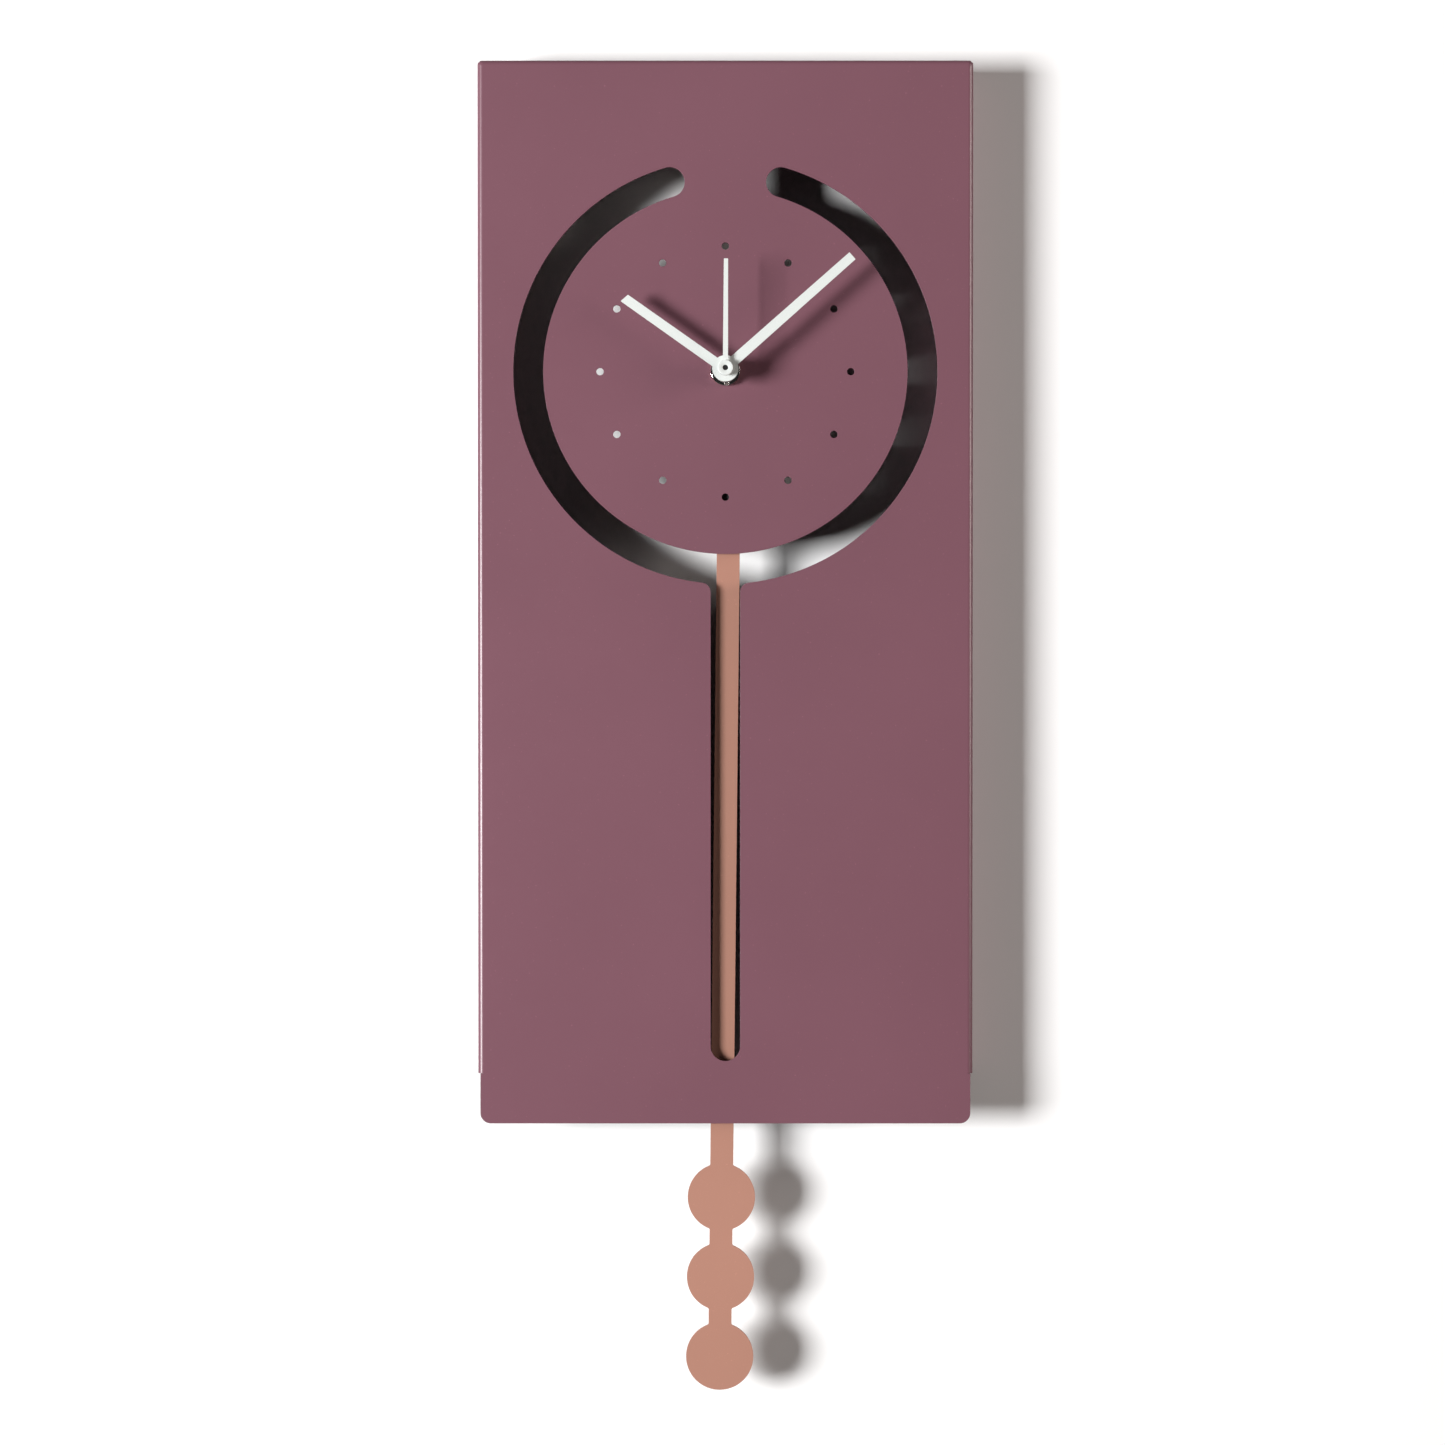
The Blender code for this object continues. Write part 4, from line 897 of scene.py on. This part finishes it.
def make_rear_cover():
    """The tray that closes the movement, with the battery bay, the knob's well and moulded ribs."""
    back, front = COVER_LOW.z, COVER_HIGH.z
    cover = plate("rear_cover", [housing()], back, front)
    rounded_edges(cover, HOUSING_EDGE)
    apply_modifiers(cover)
    cut(cover, plate("hollow", [housing(SHELL)], back + SHELL, front + MM))
    reach = HOUSING_HIGH.x - SHELL / 2
    joined(cover, block("wall", (-reach, BAY_WALL_LOW, back + SHELL / 2), (reach, BAY_WALL_HIGH, front)))
    bay = plate("bay", [rectangle(BAY_LOW, BAY_HIGH, MM)], back - MM, CUT_REACH)
    stem = moved(rod("stem", STEM_HOLE, back - MM, CUT_REACH), shift(*KNOB))
    cut(cover, bay, stem)
    joined(cover, *cover_ribs(back))
    rounded_edges(cover, 0.15 * MM, 2, 50)
    show(cover, "black_moulding", "case", "movement_rear_cover")


def cover_ribs(back):
    """Raised mouldings on the cover's back: a ring round the knob, foot ribs and a bay rim."""
    top = back - RIB_RISE
    root = back + RIB_SINK
    ribs = [moved(ring("well", WELL_INNER, WELL_OUTER, top, root), shift(*KNOB))]
    for y in RIB_PLACES:
        low = (-RIB_HALF_LENGTH, y - RIB_HALF_WIDTH)
        high = (RIB_HALF_LENGTH, y + RIB_HALF_WIDTH)
        ribs.append(plate("rib", [rectangle(low, high, RIB_CORNER)], top, root))
    inset = Vector((RIM_WIDTH, RIM_WIDTH))
    loops = [
        rectangle(RIM_LOW, RIM_HIGH, 1.2 * MM),
        rectangle(RIM_LOW + inset, RIM_HIGH - inset, 0.8 * MM),
    ]
    ribs.append(plate("rim", loops, top, root))
    return ribs


def make_set_knob():
    """The toothed knob that sets the hands, with a grip across its dish."""
    low, high = node_box("set_knob")
    radius = (high.x - low.x) / 2
    loop = []
    for i in range(KNOB_TEETH * 2):
        loop.append(polar(radius - (KNOB_TOOTH if i % 2 else 0), 180 * i / KNOB_TEETH))
    knob = plate("setting_knob", [loop], low.z, high.z)
    dish = rod("dish", KNOB_DISH, low.z - MM, low.z + KNOB_DISH_DEPTH, 64)
    bore = rod("bore", KNOB_BORE + PIPE_PLAY, KNOB_BORE_BACK, KNOB_BORE_FRONT)
    cut(knob, dish, bore)
    grip_low = (-GRIP_HALF_LENGTH, -GRIP_HALF_WIDTH)
    grip_high = (GRIP_HALF_LENGTH, GRIP_HALF_WIDTH)
    grip = rectangle(grip_low, grip_high, GRIP_CORNER)
    joined(knob, plate("grip", [grip], low.z + GRIP_BACK, low.z + GRIP_FRONT))
    rounded_edges(knob, 0.1 * MM, 2, 50)
    show(knob, "black_plastic", "setting", "set_knob", place=shift(*KNOB))


def battery_profile(radius, end, plus):
    """From the plus nub's middle over its washer and the rolled rim to the dished minus end."""
    nub = 2.7 * MM
    nub_edge = 0.2 * MM
    dish = 0.3 * MM
    rim = 0.5 * MM
    roll = 0.1 * MM
    sleeve_edge = 0.8 * MM
    return [
        (0, plus),
        (nub - nub_edge, plus),
        (nub, plus - nub_edge),
        (nub, end + roll / 2),
        (4.6 * MM, end - roll),
        (5.0 * MM, end - dish),
        (radius - 0.9 * MM, end - dish),
        (radius - rim, end),
        (radius - roll, end - dish),
        (radius, end - sleeve_edge),
        (radius, sleeve_edge - end),
        (radius - roll, dish - end),
        (radius - rim, -end),
        (radius - 1.1 * MM, dish - end),
        (4 * MM, dish - end),
        (3.6 * MM, roll - end),
        (0, roll - end),
    ]


def make_battery():
    low, high = node_box("battery")
    profile = battery_profile((high.y - low.y) / 2, -low.x, high.x)
    cell = turned("battery_cell", profile, 72)
    place = shift(0, CELL_Y, CELL_Z) @ Matrix.Rotation(math.pi / 2, 4, "Y")
    show(cell, "battery_sleeve", "case", "battery", place=place)


# ---- The pendulum: its arm is drawn about the pivot, its bar about the hook ----
PIVOT = shift(0, -PIVOT_DROP)


def make_hanger_arm():
    low, high = node_box("hanger_arm")
    length = math.hypot(*HOOK)
    tail = -length - ARM_TAIL
    outline = rounded([
        (-ARM_HALF_WIDTH, tail, ARM_CORNER),
        (ARM_HALF_WIDTH, tail, ARM_CORNER),
        (ARM_HALF_WIDTH, 0, 0),
        (-ARM_HALF_WIDTH, 0, 0),
    ])
    arm = plate("pendulum_arm", [outline], low.z, high.z)
    joined(arm, rod("hub", ARM_HUB, low.z, high.z, 64))
    bore = rod("bore", PIVOT_RADIUS + PIPE_PLAY, low.z - MM, high.z + MM)
    eye = moved(rod("eye", ARM_EYE, low.z - MM, high.z + MM), shift(0, -length))
    cut(arm, bore, eye)
    rounded_edges(arm, 0.15 * MM, 2)
    lean = turn(math.atan2(HOOK[0], -HOOK[1]))
    show(arm, "zinc_steel", "pendulum", "hanger_arm", place=PIVOT @ lean)


def make_pendulum_bar():
    low, high = node_box("pendulum_bar")
    bar = plate("pendulum_strip", [bar_outline(), circle((0, 0), BAR_EYE)], low.z, high.z)
    rounded_edges(bar, 0.25 * MM, 3)
    place = PIVOT @ shift(*HOOK) @ turn(BAR_TILT)
    show(bar, "pendulum_paint", "pendulum", "pendulum_bar", place=place)


def make_pendulum_magnet():
    low, high = node_box("pendulum_magnet")
    radius = (high.x - low.x) / 2
    magnet = rounded_edges(rod("bob_magnet", radius, low.z, high.z, 72), 0.3 * MM)
    place = shift((high.x + low.x) / 2, (high.y + low.y) / 2)
    show(magnet, "magnet", "pendulum", "pendulum_magnet", place=place)


def bar_outline():
    """The bar and its three discs, from the hook's hole down."""
    side = BAR_HALF_WIDTH
    reach = side + DISC_FILLET
    rise = math.sqrt((DISC_RADIUS + DISC_FILLET) ** 2 - reach**2)
    meet = math.atan2(rise, reach)
    right = arc((side - BAR_CORNER, BAR_CORNER), BAR_CORNER, math.pi / 2, 0, 10)
    for drop in DISC_DROPS:
        centre = (0, -drop)
        right += arc((reach, -drop + rise), DISC_FILLET, math.pi, math.pi + meet, 6)
        if drop == DISC_DROPS[-1]:
            right += arc(centre, DISC_RADIUS, meet, -math.pi / 2, 48)[1:]
        else:
            right += arc(centre, DISC_RADIUS, meet, -meet, 40)[1:]
            right += arc((reach, -drop - rise), DISC_FILLET, math.pi - meet, math.pi, 6)[1:]
    return right + mirrored(right)[1:]


# ---- CAD nodes that keep their shape ----
def finish_cad_nodes():
    for part in frame["record"]["subparts"]:
        node = frame["nodes"][part["node"]]
        if not node.hide_render:
            node.data.materials.clear()
            node.data.materials.append(MATERIALS[part["material_slot"]])


# ---- The studio: wall, floor, lights and camera ----
def set_material(name, color):
    """A pale matt surface that throws only a fifth of its light back onto the clock."""
    graph = Graph(name)
    tint = graph.mix(graph.ramp(graph.noise(3, 2), 0.3, 0.7), shade(color, 0.995), color)
    seen = graph.add("ShaderNodeLightPath").outputs["Is Camera Ray"]
    graph.color(graph.mix(seen, shade(color, BOUNCE), tint))
    graph.set(Roughness=0.9, Specular_IOR_Level=0.1)
    return graph


def flat_square(name, half_width, half_depth, matrix):
    work = bmesh.new()
    bmesh.ops.create_grid(work, x_segments=1, y_segments=1, size=1)
    mesh = bpy.data.meshes.new(name)
    work.to_mesh(mesh)
    work.free()
    mesh.transform(matrix @ Matrix.Diagonal((half_width, half_depth, 1, 1)))
    obj = link(name, mesh)
    return obj


def make_wall():
    """A wall that the camera sees through from behind, and that lets the rear lamps light what it sees."""
    upright = Matrix.Rotation(math.pi / 2, 4, "X")
    wall = flat_square("wall", 4, 2.5, Matrix.Translation((0, WALL_GAP, WALL_MIDDLE)) @ upright)
    graph = set_material("wall_paint", (0.9, 0.9, 0.9))
    path = graph.add("ShaderNodeLightPath")
    back = graph.add("ShaderNodeNewGeometry").outputs["Backfacing"]
    seen = graph.math("MULTIPLY", path.outputs["Is Camera Ray"], back)
    first = graph.math("LESS_THAN", path.outputs["Diffuse Depth"], 0.5)
    lit = graph.math("MULTIPLY", path.outputs["Is Shadow Ray"], first)
    through = graph.math("MAXIMUM", seen, lit)
    clear = graph.add("ShaderNodeBsdfTransparent")
    mixed = graph.add("ShaderNodeMixShader", {"Fac": through})
    graph.tree.links.new(graph.shader.outputs[0], mixed.inputs[1])
    graph.tree.links.new(clear.outputs[0], mixed.inputs[2])
    graph.tree.links.new(mixed.outputs[0], graph.output.inputs["Surface"])
    wall.data.materials.append(graph.material)


def make_floor():
    """A floor that looks evenly pale from anywhere, with only soft shadows on it."""
    floor = flat_square("floor", 12, 12, Matrix.Translation((0, 0, -FLOOR_DROP)))
    graph = set_material("floor_paint", (0.25, 0.25, 0.25))
    seen = graph.add("ShaderNodeLightPath").outputs["Is Camera Ray"]
    graph.tree.links.new(graph.ramp(seen, 0, 1, 0, 0.68), graph.shader.inputs["Emission Strength"])
    graph.set(Emission_Color=(1, 1, 0.99, 1))
    floor.data.materials.append(graph.material)


def area_light(name, place, size, power, target=(0, 0, -0.3)):
    light = bpy.data.lights.new(name, "AREA")
    light.shape = "RECTANGLE"
    light.size, light.size_y = size
    light.energy = power
    obj = link(name, light)
    obj.location = place
    obj.rotation_euler = (Vector(target) - Vector(place)).to_track_quat("-Z", "Y").to_euler()
    obj.visible_camera = False
    return obj


def make_lights():
    area_light("key", (-2.8, -2.2, -0.45), (1.05, 1.1), 228)
    fill = area_light("fill", (3.1, -1.15, 0.3), (1.2, 1.8), 76)
    fill.data.color = (1, 0.9, 0.85)
    area_light("rear_left", (-1.6, 2.4, 0.5), (1.6, 1.6), 70)
    area_light("rear_right", (1.9, 2.2, -0.3), (1.4, 1.8), 45)
    world = bpy.data.worlds.new("studio")
    world.use_nodes = True
    tree = world.node_tree
    path = tree.nodes.new("ShaderNodeLightPath")
    strength = tree.nodes.new("ShaderNodeMapRange")
    strength.inputs["To Min"].default_value = WORLD_LIGHT
    strength.inputs["To Max"].default_value = WORLD_SEEN
    tree.links.new(path.outputs["Is Camera Ray"], strength.inputs["Value"])
    background = tree.nodes["Background"]
    background.inputs["Color"].default_value = (1, 1, 1, 1)
    tree.links.new(strength.outputs["Result"], background.inputs["Strength"])
    bpy.context.scene.world = world


def make_camera():
    camera = bpy.data.cameras.new("camera")
    camera.sensor_width = SENSOR
    camera.lens = SENSOR * VIEW_DISTANCE / VIEW_WIDTH
    obj = link("camera", camera)
    x, z = VIEW_CENTRE
    front = -CASE_HIGH.z
    obj.location = (x, front - VIEW_DISTANCE, z + VIEW_DISTANCE * math.tan(VIEW_TILT))
    obj.rotation_euler = (math.pi / 2 - VIEW_TILT, 0, 0)
    scene = bpy.context.scene
    scene.camera = obj
    scene.view_settings.view_transform = "Standard"


# ---- The clock in its studio ----
make_case_sheet()
make_hanger_bar()
make_nut()
make_washer_and_gasket()
make_bushing()
make_hour_hand()
make_minute_hand()
make_second_hand()
make_front_shell()
make_rear_cover()
make_set_knob()
make_battery()
make_hanger_arm()
make_pendulum_bar()
make_pendulum_magnet()
finish_cad_nodes()
make_wall()
make_floor()
make_lights()
make_camera()
